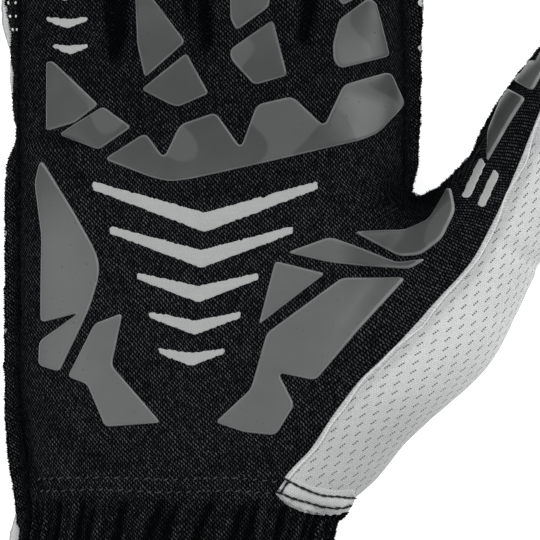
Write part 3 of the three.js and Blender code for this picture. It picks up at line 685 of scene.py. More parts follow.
def rounded_outline(corners, cut, spacing=0.45):
    """A polygon with its corners rounded back by cut, or by a corner's own third number, as even points."""
    cuts = [corner[2] if len(corner) > 2 else cut for corner in corners]
    corners = [np.array(corner[:2], float) for corner in corners]
    line = []
    for i, corner in enumerate(corners):
        ends = []
        for other in (corners[i - 1], corners[(i + 1) % len(corners)]):
            share = min(cuts[i] / np.linalg.norm(other - corner), 0.42)
            ends.append(corner + (other - corner) * share)
        for t in np.linspace(0, 1, 5):
            line.append(ends[0] * (1 - t) ** 2 + corner * 2 * t * (1 - t) + ends[1] * t**2)
    return resampled(np.array(line), spacing, closed=True)


PIPING_LINE = smooth_line(PIPING)
HEM_LINE = smooth_line(THUMB_HEM)
THUMB_OUTLINE = np.concatenate([PIPING_LINE, np.array(PAST_THUMB, float), HEM_LINE[1:][::-1]])


def thumb_level(points):
    """Plan distance to the edge of the light thumb panel, positive in the panel."""
    plan = points[:, :2]
    away = distance_to(THUMB_OUTLINE, plan, closed=True)
    return np.where(inside(THUMB_OUTLINE, plan), away, -away)


def seam_level(points):
    """Height over the seam between palm and back, which climbs on the thumb."""
    x, y, z = points.T
    along, _ = thumb_axes(x, y)
    zone = inside(np.array(THUMB_ZONE, float), points[:, :2])
    on_thumb = np.where(zone, curve_at(THUMB_SEAM, along)[0], -FAR)
    return z - np.maximum(seam_height(y), on_thumb)


def wrist_level(points):
    """Distance along the glove past the slightly wavy seam between cuff and palm."""
    return points[:, 1] - WRIST_SEAM - 0.5 * np.sin(points[:, 0] * 0.35)


# Relief of the cloth

def cloth_noise(points, scale, seed):
    """Soft noise from about -1 to 1 at every point, with bumps about scale millimetres apart."""
    offset = Vector((seed * 17.3, seed * 5.1, seed * 9.7))
    return np.array([noise.noise(Vector(p) / scale + offset) for p in points.tolist()])


def dents(away, table):
    """Rise across a seam from a table of its dents and swells."""
    return sum(height * bump(away, width, at) for height, width, at in table)


def palm_folds(plan):
    """Rise of the palm from the folds in FOLDS."""
    rise = np.zeros(len(plan))
    for depth, width, corners in FOLDS:
        line = smooth_line(corners, 2)
        away = distance_to(line, plan)
        ends = [np.linalg.norm(plan - end, axis=1) for end in (line[0], line[-1])]
        near_end = np.minimum(*ends)
        rise += depth * bump(away, width) * (0.25 + 0.75 * smooth_step(0, 6, near_end))
    return rise


def limb_creases(points):
    """Shallow dips across the joints of the fingers and the thumb, palm side."""
    x, y, _ = points.T
    rise = np.zeros(len(points))
    rows, depth, width = FINGER_CREASES
    for row in rows:
        rise -= depth * bump(y, width, row + 0.8 * np.sin(x * 0.5)) * (x < 36)
    along, _ = thumb_axes(x, y)
    rows, depth, width = THUMB_CREASES
    for row in rows:
        rise -= depth * bump(along, width, row) * smooth_step(44, 52, x)
    return rise


def gathers(points):
    """Pleats of the elastic cuff, coarse and fine, round the palm side."""
    across, height, half_width, half_height, _ = curve_at(PALM, points[:, 1])
    angle = np.arctan2((points[:, 2] - height) / half_height, (points[:, 0] - across) / half_width)
    share = curve_at(PLEAT_ROWS, points[:, 1])[0]
    drift = cloth_noise(points * (1, 0.45, 1), 14, 3) * 0.22
    coarse = (np.cos(PLEATS * (angle + drift * 0.4)) - 1) / 2
    round_run = angle * 30 / GATHER_PITCH
    fine = np.sin(2 * math.pi * (round_run + 4 * drift + 0.02 * points[:, 1]))
    fade = smooth_step(-0.2, 0.25, np.sin(angle))
    return share * fade * (PLEAT_DEPTH * coarse + GATHER_DEPTH * (fine - 0.4))


def relief(points, level):
    """How far the cloth stands proud of the smooth skin, and how dark its valleys are from 0 to 1, as painted
    shade that also falls in folds and pleats, at the web, over the fingers, beside the thumb cord and at the
    thumb's low end.
    """
    y = points[:, 1]
    plan = points[:, :2]
    palm_side = smooth_step(1, 6, level)
    folds = palm_side * palm_folds(plan)
    creases = palm_side * limb_creases(points)
    pleats = gathers(points) * smooth_step(WRIST_SEAM + 1.5, WRIST_SEAM - 2, y)
    rise = sum(height * cloth_noise(points, scale, seed) for height, scale, seed in UNEVENNESS)
    piping = distance_to(PIPING_LINE, plan)
    rise += folds + creases + pleats + dents(level, SEAM_DENTS)
    rise += palm_side * (dents(piping, PIPING_DENTS) + dents(distance_to(HEM_LINE, plan), HEM_DENTS))
    in_thumb = thumb_level(points)
    on_palm = palm_side * smooth_step(2, -1, in_thumb)
    for row in WRIST_ROWS:
        rise += on_palm * dents(distance_to(smooth_line(row, 2), plan), WRIST_DENTS)
    crotch = np.linalg.norm((plan - WEB_CROTCH) / WEB_SPREAD, axis=1)
    between_cuff_and_fingers = smooth_step(76, 58, y) * smooth_step(-64, -48, y)
    valley = VALLEY_REACH + (PALM_VALLEY_REACH - VALLEY_REACH) * between_cuff_and_fingers
    # Painted shade on the palm side: valleys by the seam, folds, pleats, the web's crotch and the fingers
    dark = [
        bump(np.maximum(level, 0), valley),
        np.clip(-(folds + creases * 0.6) / FULL_FOLD, 0, 1),
        np.clip(-pleats / FULL_PLEAT, 0, 1),
        WEB_SHADE * bump(crotch, 1),
        FINGER_SHADE * smooth_step(12, 44, y),
    ]
    # Painted shade on the thumb panel: beside the cord and at its low end
    beside_cord = CORD_SHADE * bump(piping, 1.3, 1.6)
    low_end = THUMB_END_SHADE * smooth_step(-16, -44, y)
    return rise, np.where(in_thumb > 0, np.maximum(beside_cord, low_end), np.maximum.reduce(dark))


# Pieces

def place(points):
    return (np.asarray(points, float) + SHIFT) / 1000


def piece_of(name, points, faces, material):
    """A mesh object of points in millimetres, riding on the glove."""
    mesh = bpy.data.meshes.new(name)
    mesh.from_pydata(place(points).tolist(), [], [list(face) for face in faces])
    mesh.materials.append(material)
    mesh.polygons.foreach_set("use_smooth", [True] * len(mesh.polygons))
    mesh.update()
    piece = bpy.data.objects.new(name, mesh)
    bpy.context.scene.collection.objects.link(piece)
    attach(piece, "root")
    return piece


def set_uv(piece, uv):
    """The pattern's place on the cloth, in millimetres, one pair for each vertex."""
    layer = piece.data.uv_layers.new(name="cloth")
    corners = np.empty(len(piece.data.loops), np.int64)
    piece.data.loops.foreach_get("vertex_index", corners)
    layer.data.foreach_set("uv", uv[corners].ravel())


def set_share(piece, name, values):
    """A number for each vertex that the materials read."""
    attribute = piece.data.attributes.new(name, "FLOAT", "POINT")
    attribute.data.foreach_set("value", np.asarray(values, float))


def knit_uv(points, level):
    """Where a point lies on the flat cloth: around the limb and along it, turned towards the thumb."""
    x, y, z = points.T
    across, height, half_width, half_height, _ = curve_at(PALM, y)
    beside_thumb = (x > across) * smooth_step(-58, -48, y) * smooth_step(24, 14, y)
    drop = np.abs(z - height - np.sign(level) * half_height) * (1 - beside_thumb)
    u = x + unrolled(x - across, half_width, drop)
    middles = np.array([finger_section(finger, y)[0] for finger in FINGERS])
    nearest = np.argmin(np.abs(x - middles), axis=0)
    halves = np.array([finger_section(finger, y)[1] for finger in FINGERS])
    middle = np.take_along_axis(middles, nearest[None], 0)[0]
    half = np.take_along_axis(halves, nearest[None], 0)[0]
    finger_u = x + unrolled(x - middle, half, np.abs(z - seam_height(y) - np.sign(level) * half))
    share = smooth_step(52, 66, y) * (x < 36)
    u = u * (1 - share) + finger_u * share
    turn = KNIT_TURN * smooth_step(12, 60, x - 0.2 * np.clip(y, -40, 40)) * (1 - share)
    beside_index = smooth_step(15, 20, y) * smooth_step(38, 34, x)
    on_web = smooth_step(24, 32, x) * smooth_step(4, 12, y) * (level > 0) * (1 - share) * (1 - beside_index)
    top = WEB_TOP + THUMB_OVER_WEB * smooth_step(33, 46, x)
    dx, dy = u - 32, y - on_web * 0.9 * (z - top) - 6
    return np.stack([dx * np.cos(turn) + dy * np.sin(turn), dy * np.cos(turn) - dx * np.sin(turn)], axis=1)


def unrolled(side, half_width, drop):
    """Extra run across from cloth that turns down the side of a limb."""
    return np.clip(side / (half_width * 0.5), -1, 1) * drop * 0.6


def thumb_uv(points):
    """Along the thumb and around it."""
    x, y, z = points.T
    along, side = thumb_axes(x, y)
    across, height, _, _ = curve_at(THUMB, along)
    return np.stack([along, -np.arctan2(z - height, side - across) * THUMB_GIRTH], axis=1)


def glove_skin():
    """The whole outer skin, cut at every seam: home points, triangles and the panel of each triangle."""
    counts = np.ceil((SKIN_HIGH - SKIN_LOW) / GRID_STEP).astype(int) + 1
    x, y, z = (SKIN_LOW[axis] + GRID_STEP * np.arange(counts[axis]) for axis in range(3))
    values = hand_distance(x[:, None, None], y[None, :, None], z[None, None, :]).astype(np.float32)
    points, quads = surface_net(values, SKIN_LOW, GRID_STEP)
    for _ in range(2):
        points -= slope_at(points) * hand_distance(*points.T)[:, None] * 0.9
    triangles = triangles_of(points, quads)
    for level_at in (lambda p: p[:, 1] - CUFF_END, thumb_level, seam_level, wrist_level):
        points, triangles = cut_along(points, triangles, level_at)
    middles = points[triangles].mean(axis=1)
    on_thumb = thumb_level(middles) > 0
    above = seam_level(middles) > 0
    over_wrist = wrist_level(middles) > 0
    names = ["thumb_panel", "palm_panel", "cuff_panel"]
    panel = np.select([on_thumb, above & over_wrist, above], names, "back_panel")
    kept = middles[:, 1] > CUFF_END
    return points, triangles[kept], panel[kept]


def cloth_panel(name, points, triangles, uv, shade, material):
    """One sewn panel of the skin, with its wall grown inwards."""
    used, local = np.unique(triangles, return_inverse=True)
    piece = piece_of(name, points[used], local.reshape(triangles.shape), material)
    set_uv(piece, uv[used])
    set_share(piece, "shade", shade[used])
    wall = piece.modifiers.new("wall", "SOLIDIFY")
    wall.thickness = WALL / 1000
    wall.offset = -1
    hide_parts(name)
    return piece


def seam_chains(triangles, panel):
    """The vertex chains along the seam between the palm side and the back."""
    upper = np.isin(panel, ["palm_panel", "cuff_panel"])
    lower = panel == "back_panel"
    back_edges = set()
    for a, b, c in triangles[lower].tolist():
        back_edges.update(((b, a), (c, b), (a, c)))
    following = {}
    for a, b, c in triangles[upper].tolist():
        for edge in ((a, b), (b, c), (c, a)):
            if edge in back_edges:
                following[edge[0]] = edge[1]
    ends = set(following.values())
    chains = []
    for start in following:
        if start in ends:
            continue
        chain = [start]
        while chain[-1] in following:
            chain.append(following[chain[-1]])
        chains.append(chain)
    return sorted(chains, key=len, reverse=True)[:2]


def evened(values, reach):
    """Values along a chain, averaged over reach neighbours on each side."""
    kernel = np.ones(2 * reach + 1) / (2 * reach + 1)
    padded = np.concatenate([values[:1].repeat(reach, 0), values, values[-1:].repeat(reach, 0)])
    if values.ndim == 1:
        return np.convolve(padded, kernel, "valid")
    return np.stack([np.convolve(column, kernel, "valid") for column in padded.T], axis=1)


def edge_widths(chain, outward):
    """How far the raw seam edge sticks out at each point: out to its rims on the hand's sides."""
    x, y, _ = chain.T
    left = (outward[:, 0] < 0) & (x < LEFT_SIDE)
    right = (outward[:, 0] > 0) & (x > RIGHT_SIDE) & (y > WEB_ROW)
    facing = np.maximum(np.abs(outward[:, 0]), 0.6)
    tip = np.clip(outward[:, 1], 0, 1) ** 2
    width = INNER_EDGE * (1 - tip) + np.where(y > TIPS_FROM, TIP_EDGE, CROTCH_EDGE) * tip
    to_left = np.where(y < RIMS_TO, (x - curve_at(LEFT_RIM, y)[0]) / facing, FINGER_EDGE)
    to_right = np.where(y < RIMS_TO, (curve_at(RIGHT_RIM, y)[0] - x) / facing, FINGER_EDGE)
    width = np.where(left, to_left * (1 - tip) + TIP_EDGE * tip, width)
    width = np.where(right, to_right * (1 - tip) + TIP_EDGE * tip, width)
    right_of_palm = (y < WEB_ROW) & (y > -50) & (outward[:, 0] > 0)
    width = np.where(right_of_palm, CROTCH_EDGE, width)
    width = np.where(x > 34.5, WEB_EDGE, width)
    width = np.where(inside(np.array(THUMB_SIDE, float), chain[:, :2]), THUMB_EDGE, width)
    width = np.where((x > -5) & (y < -50), CUFF_EDGE, width)
    return evened(np.maximum(width, 0.2), 6)


def light_beyond(chain, outward):
    """How far the light cloth shows past the black rim."""
    x, y, _ = chain.T
    left = (outward[:, 0] < 0) & (x < LEFT_SIDE)
    beyond = np.where(left, curve_at(LIGHT_BEYOND, y)[0], 0)
    for across, along, reach, size in LIGHT_SPOTS:
        beyond = beyond + size * np.exp(-((x - across) ** 2 + (y - along) ** 2) / reach**2)
    return evened(beyond, 3)


def seam_edge(name, chain, outward, width, low, high, ragged, seed, material):
    """A strip of cloth that sticks out of a seam, with a ragged outer rim."""
    random_at = np.random.default_rng(seed)
    count = len(chain)
    fray = evened(random_at.normal(0, 1, count), 1) * ragged
    ripple = 0.45 * np.sin(np.cumsum(random_at.normal(0.22, 0.16, count)))
    outer = np.maximum(width * (1 + 0.05 * ripple) + fray, LEAST_EDGE)
    rings = []
    for share, up in EDGE_SECTION:
        reach = np.where(share > 0, outer * share, share)
        lift = ripple * np.clip(share, 0, 1) * np.minimum(width / OUTER_EDGE, 1)
        ring = chain + outward * reach[:, None]
        ring[:, 2] += low * (1 - up) + high * up + lift
        rings.append(ring)
    sides = len(rings)
    points = np.stack(rings, axis=1).reshape(-1, 3)
    faces = []
    for i in range(count - 1):
        for k in range(sides):
            a, b = i * sides + k, i * sides + (k + 1) % sides
            faces.append((a, b, b + sides, a + sides))
    faces += [tuple(range(sides))[::-1], tuple(range((count - 1) * sides, count * sides))]
    piece = piece_of(name, points, faces, material)
    run = np.concatenate([[0], np.cumsum(np.linalg.norm(np.diff(chain, axis=0), axis=1))])
    across = np.array([share * OUTER_EDGE for share, _ in EDGE_SECTION])
    set_uv(piece, np.stack([np.tile(across, count), np.repeat(run, sides)], axis=1))
    # Painted shade on the raw edge: darker towards the seam, and over the index side
    inner = np.array([0.8 * (1 - max(share, 0)) for share, _ in EDGE_SECTION])
    beside_index = INDEX_EDGE_SHADE * (chain[:, 0] > RIGHT_SIDE) * (chain[:, 1] < 70)
    set_share(piece, "shade", np.maximum(np.tile(inner, count), np.repeat(beside_index, sides)))
    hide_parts("seam_flange")
    return piece, rings[3]


class Ground:
    """The finished outer cloth, to lay pads, cords and stitches on from above."""

    def __init__(self, points, triangles):
        self.points = points
        self.triangles = triangles
        self.normals = vertex_normals(points, triangles)
        self.tree = BVHTree.FromPolygons(points.tolist(), triangles.tolist())

    def under(self, plan):
        """The point of the cloth and its smooth normal under each plan point."""
        spots, faces = [], []
        for x, y in plan.tolist():
            spot, _, face, _ = self.tree.ray_cast(Vector((x, y, LOOK_DOWN_FROM)), Vector((0, 0, -1)))
            if spot is None:
                spot, _, face, _ = self.tree.find_nearest(Vector((x, y, LOOK_NEAR_FROM)))
            spots.append(spot)
            faces.append(face)
        spots = np.array(spots)
        corners = self.triangles[faces]
        nearness = 1 / (np.linalg.norm(self.points[corners] - spots[:, None], axis=2) + 1e-3)
        normals = (self.normals[corners] * nearness[:, :, None]).sum(axis=1)
        return spots, normals / np.linalg.norm(normals, axis=1, keepdims=True)


def filled_outline(outline, edge, grid):
    """Points and triangles that fill an outline: rows along its rim, and an even grid further in."""
    rows = [outline]
    run = np.roll(outline, -1, axis=0) - np.roll(outline, 1, axis=0)
    inward = np.stack([-run[:, 1], run[:, 0]], axis=1) / np.linalg.norm(run, axis=1, keepdims=True)
    if not inside(outline, outline[:1] + inward[:1] * 0.05)[0]:
        inward = -inward
    for share in RIM_ROWS:
        ring = outline + inward * share * edge
        clear = distance_to(outline, ring, closed=True) > ROW_CLEAR * share * edge
        rows.append(ring[inside(outline, ring) & clear])
    low, high = outline.min(axis=0), outline.max(axis=0)
    xs, ys = np.meshgrid(np.arange(low[0], high[0], grid), np.arange(low[1], high[1], grid))
    even = np.stack([xs.ravel(), ys.ravel()], axis=1)
    even[:, 0] += np.where(np.round((even[:, 1] - low[1]) / grid) % 2 == 1, grid / 2, 0)
    deep = inside(outline, even)
    deep[deep] = distance_to(outline, even[deep], closed=True) > RIM_ROWS[-1] * edge + 0.4 * grid
    rows.append(even[deep])
    rim = list(range(len(outline)))
    edges = list(zip(rim, rim[1:] + rim[:1]))
    corners = [Vector(p) for p in np.concatenate(rows).tolist()]
    found, _, faces, _, _, _ = geometry.delaunay_2d_cdt(corners, edges, [rim], 1, 1e-4)
    plan = np.array(found)
    return plan, np.array([face if turns_up(plan, face) else face[::-1] for face in faces])


def applied_patch(name, outline, ground, sizes, material, swell=None):
    """A thin piece bonded to the cloth: rounded at its rim, following the surface, closed underneath."""
    thickness, edge, grid = sizes
    plan, faces = filled_outline(outline, edge, grid)
    spots, normals = ground.under(plan)
    away = distance_to(outline, plan, closed=True)
    away[:len(outline)] = 0
    away[away < 1e-3] = 0
    rounded = np.sqrt(1 - (1 - np.clip(away / edge, 0, 1)) ** 2)
    height = thickness * rounded - PATCH_SINK
    if swell is not None:
        height += swell(plan, away) * rounded
    top = spots + normals * height[:, None]
    bottom = spots - normals * PATCH_UNDER
    count = len(plan)
    walls = [(b, a, a + count, b + count) for a, b in rim_edges(faces)]
    all_faces = [tuple(face) for face in faces] + [tuple(face[::-1] + count) for face in faces] + walls
    piece = piece_of(name, np.concatenate([top, bottom]), all_faces, material)
    set_share(piece, "rim", np.tile(np.clip(away / (2.2 * edge), 0, 1), 2))
    # Painted shade on the pads: darker towards the fingers and on the leaf pads
    on_leaf = LEAF_PAD_SHADE * smooth_step(15, 22, plan[:, 0]) * smooth_step(-4, 2, plan[:, 1])
    set_share(piece, "pad_shade", np.tile(np.maximum(smooth_step(2, 32, plan[:, 1]), on_leaf), 2))
    set_uv(piece, np.tile(plan, (2, 1)))
    return piece


def turns_up(plan, face):
    a, b, c = (plan[corner] for corner in face)
    return (b[0] - a[0]) * (c[1] - a[1]) > (b[1] - a[1]) * (c[0] - a[0])


def rim_edges(faces):
    """The directed edges that only one face has."""
    edges = set()
    for a, b, c in faces.tolist():
        edges.update(((a, b), (b, c), (c, a)))
    return [edge for edge in edges if edge[::-1] not in edges]


def swept_cord(name, line, ups, section, material, sides, twist=0.0):
    """An oval cord along a line, with closed ends; ups point out of the cloth."""
    width, height = section
    tangents = np.gradient(line, axis=0)
    tangents /= np.linalg.norm(tangents, axis=1, keepdims=True)
    across = np.cross(tangents, ups)
    across /= np.linalg.norm(across, axis=1, keepdims=True)
    ups = np.cross(across, tangents)
    run = np.concatenate([[0], np.cumsum(np.linalg.norm(np.diff(line, axis=0), axis=1))])
    points, uv = [], []
    for k in range(sides):
        angle = 2 * math.pi * k / sides
        swell = 1 + twist * np.sin(2 * math.pi * run / CORD_TWIST + 2 * angle)[:, None]
        out = across * width / 2 * math.cos(angle) + ups * height / 2 * math.sin(angle)
        points.append(line + out * swell)
        uv.append(np.stack([np.full(len(line), angle), run], axis=1))
    points = np.stack(points, axis=1).reshape(-1, 3)
    faces = []
    for i in range(len(line) - 1):
        for k in range(sides):
            a, b = i * sides + k, i * sides + (k + 1) % sides
            faces.append((a, a + sides, b + sides, b))
    faces += [tuple(range(sides)), tuple(range((len(line) - 1) * sides, len(line) * sides))[::-1]]
    piece = piece_of(name, points, faces, material)
    set_uv(piece, np.stack(uv, axis=1).reshape(-1, 2))
    outward_normals(piece)
    return piece


def outward_normals(piece):
    """Turns every face of a closed mesh outwards."""
    work = bmesh.new()
    work.from_mesh(piece.data)
    bmesh.ops.recalc_face_normals(work, faces=work.faces)
    work.to_mesh(piece.data)
    work.free()


# Node trees

class Value:
    """A number socket of a node tree; every operator on it adds one Math node."""

    def __init__(self, tree, socket):
        self.tree = tree
        self.socket = socket

    def __abs__(self):
        return self.tree.math("ABSOLUTE", self)


def add_operator(name, operation):
    """Gives Value an operator and its reflected form."""
    setattr(Value, f"__{name}__", lambda self, other: self.tree.math(operation, self, other))
    setattr(Value, f"__r{name}__", lambda self, other: self.tree.math(operation, other, self))


add_operator("add", "ADD")
add_operator("sub", "SUBTRACT")
add_operator("mul", "MULTIPLY")
add_operator("truediv", "DIVIDE")
add_operator("pow", "POWER")


class Tree:
    """A node tree under construction."""

    def __init__(self, tree):
        self.tree = tree

    def node(self, kind, settings=None, values=None):
        """A node of a kind: its settings are set first, then the values or links of its sockets."""
        made = self.tree.nodes.new(kind)
        for name, setting in (settings or {}).items():
            setattr(made, name, setting)
        for key, value in (values or {}).items():
            value = value.socket if isinstance(value, Value) else value
            if isinstance(value, bpy.types.NodeSocket):
                self.tree.links.new(value, made.inputs[key])
            else:
                made.inputs[key].default_value = value
        return made

    def value(self, kind, settings=None, values=None, output=0):
        return Value(self, self.node(kind, settings, values).outputs[output])

    def math(self, operation, *values):
        return self.value("ShaderNodeMath", {"operation": operation}, dict(enumerate(values)))

    def limited(self, value):
        """The value kept between 0 and 1."""
        settings = {"operation": "MULTIPLY", "use_clamp": True}
        return self.value("ShaderNodeMath", settings, {0: value, 1: 1.0})

    def whole(self, value):
        return self.math("FLOOR", value)

    def part(self, value):
        return self.math("FRACT", value)

    def vector(self, x, y, z=0.0):
        return self.node("ShaderNodeCombineXYZ", None, {0: x, 1: y, 2: z}).outputs[0]

    def added(self, a, b):
        """The sum of two vectors."""
        return self.node("ShaderNodeVectorMath", {"operation": "ADD"}, {0: a, 1: b}).outputs[0]


class Finish(Tree):
    """A procedural material: base colour, roughness and relief over the cloth's own coordinates."""

    def __init__(self, name, specular, metallic=0.0):
        self.material = bpy.data.materials.new(name)
        self.material.use_nodes = True
        super().__init__(self.material.node_tree)
        self.tree.nodes.clear()
        self.shader = self.node("ShaderNodeBsdfPrincipled")
        self.shader.inputs["Specular IOR Level"].default_value = specular
        self.shader.inputs["Metallic"].default_value = metallic
        self.node("ShaderNodeOutputMaterial", None, {"Surface": self.shader.outputs[0]})

    def cloth(self):
        """The two cloth coordinates, in millimetres."""
        uv = self.node("ShaderNodeUVMap", {"uv_map": "cloth"})
        split = self.node("ShaderNodeSeparateXYZ", None, {0: uv.outputs[0]})
        return Value(self, split.outputs[0]), Value(self, split.outputs[1])

    def share(self, name):
        """A piece's own number at each vertex."""
        return self.value("ShaderNodeAttribute", {"attribute_name": name}, None, 2)

    def place(self):
        """Object coordinates, in metres."""
        return self.node("ShaderNodeTexCoord").outputs["Object"]

    def cloud(self, scale, detail):
        """Soft noise from 0 to 1."""
        values = {"Vector": self.place(), "Scale": scale, "Detail": detail}
        return self.value("ShaderNodeTexNoise", None, values)

    def chance(self, x, y):
        """A random number for each whole x and y."""
        settings = {"noise_dimensions": "2D"}
        return self.value("ShaderNodeTexWhiteNoise", settings, {"Vector": self.vector(x, y)})

    def mix(self, share, a, b):
        """Two colours mixed by a share."""
        a, b = ((*tone, 1) if isinstance(tone, tuple) else tone for tone in (a, b))
        return self.node("ShaderNodeMix", {"data_type": "RGBA"}, {0: share, 6: a, 7: b}).outputs[2]

    def colour(self, socket):
        self.tree.links.new(socket, self.shader.inputs["Base Color"])

    def rough(self, value):
        self.tree.links.new(value.socket, self.shader.inputs["Roughness"])

    def relief(self, height, depth):
        """Bump of a height from 0 to 1, as deep as depth millimetres."""
        values = {"Height": height, "Distance": depth / 1000, "Strength": 1.0}
        bump = self.node("ShaderNodeBump", None, values)
        self.tree.links.new(bump.outputs[0], self.shader.inputs["Normal"])


# Finishes

def knit_loops(finish, u, v, wide=KNIT_WIDE, tall=KNIT_TALL):
    """Staggered upright loops: how far each point is from its loop's middle, and each loop's random tone."""
    row = finish.whole(v / tall)
    x = u / wide + row * 0.5
    chance = finish.chance(finish.whole(x), row)
    fx = finish.part(x) - 0.5
    fy = finish.part(v / tall) - 0.5
    slant = fx + fy * (chance * 0.5 - 0.05)
    return (slant / 0.4) ** 2.0 + (fy / 0.5) ** 2.0, chance


def knit_grains(finish, u, v, wide, tall):
    """Staggered slanting grains in close columns: how far each point is from a grain, and its tone."""
    x = (u / wide + v / tall * 0.12) * 2.0
    column = finish.whole(x)
    y = v / tall + finish.part(column * 0.5)
    chance = finish.chance(column, finish.whole(y))
    fx = finish.part(x) - 0.5
    fy = finish.part(y) - 0.5
    slant = fx + fy * (chance * 0.6 - 0.1)
    return (slant / 0.46) ** 2.0 + (fy / 0.44) ** 2.0, chance


def black_knit(name="black_knit_cloth", yarn=0.0073, glint=0.062, wide=KNIT_WIDE, tall=KNIT_TALL):
    """Coarse black bird's-eye knit: short slanting grains of yarn with small painted glints over near-black
    gaps, all dimmed by the painted shade of the shade share.
    """
    finish = Finish(name, specular=0.0)
    u, v = finish.cloth()
    shade = finish.share("shade")
    waver = finish.cloud(90, 2) - 0.5
    wobble = finish.cloud(900, 1) - 0.5
    u, v = u + waver * 1.6 + wobble * 0.6, v + waver * 1.1 - wobble * 0.6
    reach, chance = knit_grains(finish, u, v, wide, tall)
    strands = finish.cloud(3000, 2)
    patch = finish.cloud(240, 3)
    loop = finish.limited(1.2 - reach)
    middle = finish.limited(1.05 - reach * 1.3)
    # Painted glints and painted shade in the yarn's colour
    lit = 1.0 - shade * 0.94
    glow = (0.15 + chance * 0.9) * finish.limited(strands * 3.4 - 1.1) * (0.35 + patch * 1.3)
    shine = middle * glow * lit
    yarn_colour = tuple(yarn * part for part in YARN_TINT)
    glint_colour = tuple(glint * part for part in GLINT_TINT)
    body = finish.mix(finish.limited(loop * (0.35 + strands) * lit), KNIT_GAP, yarn_colour)
    finish.colour(finish.mix(finish.limited(shine * 1.5), body, glint_colour))
    finish.rough(0.9 - shine * 0.2)
    finish.relief(loop * 0.8 + strands * 0.35, 0.26)
    return finish.material


def light_knit(name="light_mesh_cloth", holes=1.0):
    """Light grey mesh: fine ticks, and slanting rows of small holes."""
    finish = Finish(name, specular=0.25)
    along, around = finish.cloth()
    shade = finish.share("shade")
    row = finish.whole(along / MESH_ROW)
    x = (finish.part(around / MESH_PITCH + row / 3.0) - 0.5) * MESH_PITCH
    y = (finish.part(along / MESH_ROW) - 0.5) * MESH_ROW
    run = y * math.cos(DASH_TILT) + x * math.sin(DASH_TILT)
    aside = x * math.cos(DASH_TILT) - y * math.sin(DASH_TILT)
    dots = 0.62 + finish.math("COSINE", run * (2 * math.pi / HOLE_PITCH)) * 0.5
    dash = finish.limited((0.21 - abs(aside)) * 9.0) * finish.limited((0.98 - abs(run)) * 5.0)
    hole = finish.limited(dash * dots) * holes
    reach, chance = knit_loops(finish, around + along * 0.05, along, 0.62, 0.44)
    tick = finish.limited(1.2 - reach)
    patch = finish.cloud(90, 3)
    grain = finish.cloud(1800, 2)
    weave = finish.limited(tick * 0.5 + chance * 0.2 + patch * 0.25 + (grain - 0.5) * 0.5)
    cloth = finish.mix(weave, *MESH_TONES)
    # Painted shade from the shade share
    cloth = finish.mix(finish.limited(shade * 0.9), cloth, MESH_SHADE)
    finish.colour(finish.mix(finish.limited(hole), cloth, MESH_HOLE))
    finish.rough(0.78 + hole * 0.15)
    finish.relief(tick * 0.35 - hole * 1.0 + patch * 0.2, 0.22)
    return finish.material


def silicone():
    """Grey silicone pads: satin, slightly mottled, with fine specks; painted highlights make the rims paler,
    and painted shade darkens the pads towards the fingers and on the leaf pads, with painted reflections in
    patches there.
    """
    finish = Finish("grip_silicone", specular=0.3)
    rim = finish.share("rim")
    pad_shade = finish.share("pad_shade")
    mottle = finish.cloud(180, 4)
    broad = finish.cloud(34, 2)
    distance = finish.value("ShaderNodeTexVoronoi", None, {"Vector": finish.place(), "Scale": 420.0})
    speck = finish.limited((0.11 - distance) * 18.0)
    # Soft random patches of lighter and darker tone
    patchy_tone = finish.limited(mottle * 0.8 + broad * 0.8 - 0.3)
    # Painted shade: a lit and a shaded copy of the pad grey
    bright = finish.mix(patchy_tone, *PAD_LIT)
    dark = finish.mix(patchy_tone, *PAD_SHADED)
    edge = finish.limited(1.0 - rim * 1.9)
    # Painted reflections: sharp lighter patches on the shaded pads
    glare = finish.limited((finish.cloud(62, 0) - 0.51) * 40.0)
    dark = finish.mix(glare * 0.75, dark, PAD_GLARE)
    body = finish.mix(finish.limited(pad_shade), bright, dark)
    # Painted highlight along the pad rims
    edged = finish.mix(finish.limited(edge * (0.3 + mottle)), body, PAD_RIM_HIGHLIGHT)
    finish.colour(finish.mix(speck * 0.45, edged, PAD_SPECK))
    finish.rough(0.3 + mottle * 0.1 + speck * 0.2 + edge * 0.1)
    finish.relief(mottle * 0.4 - speck * 0.6 + broad * 0.5, 0.1)
    return finish.material


def silver_film():
    """Thin silver transfer: flat and slightly metallic, with the knit just showing through and a painted
    highlight on its rim.
    """
    finish = Finish("silver_transfer", specular=0.3, metallic=0.1)
    u, v = finish.cloth()
    rim = finish.share("rim")
    reach, chance = knit_loops(finish, u, v)
    patch = finish.cloud(260, 4)
    body = finish.mix(finish.limited(patch * 0.9 + chance * 0.15), *FILM_TONES)
    # Painted highlight along the rim
    finish.colour(finish.mix(finish.limited(1.0 - rim * 2.2), body, FILM_RIM_HIGHLIGHT))
    finish.rough(0.55 + patch * 0.12)
    finish.relief(finish.limited(1.0 - reach) * 0.5 + patch * 0.3, 0.06)
    return finish.material


def seam_cord(name):
    """Pale cord of the thumb seam, with a fine slanting twist."""
    finish = Finish(name, specular=0.2)
    angle, run = finish.cloth()
    twist = finish.math("SINE", run * (2 * math.pi / CORD_TWIST) + angle * 2.0) * 0.5 + 0.5
    fuzz = finish.cloud(1500, 3)
    finish.colour(finish.mix(finish.limited(twist * 0.35 + fuzz * 1.5 - 0.45), *CORD_TONES[name]))
    finish.rough(0.8 + fuzz * 0.1)
    finish.relief(twist * 0.5 + fuzz * 0.7, 0.1)
    return finish.material


def thread(name):
    """Sewing thread with a fine twist."""
    finish = Finish(name, specular=0.15)
    fuzz = finish.cloud(2600, 3)
    finish.colour(finish.mix(finish.limited(fuzz * 1.6 - 0.3), *THREAD_TONES[name]))
    finish.rough(0.55 + fuzz * 0.25)
    finish.relief(fuzz, 0.06)
    return finish.material


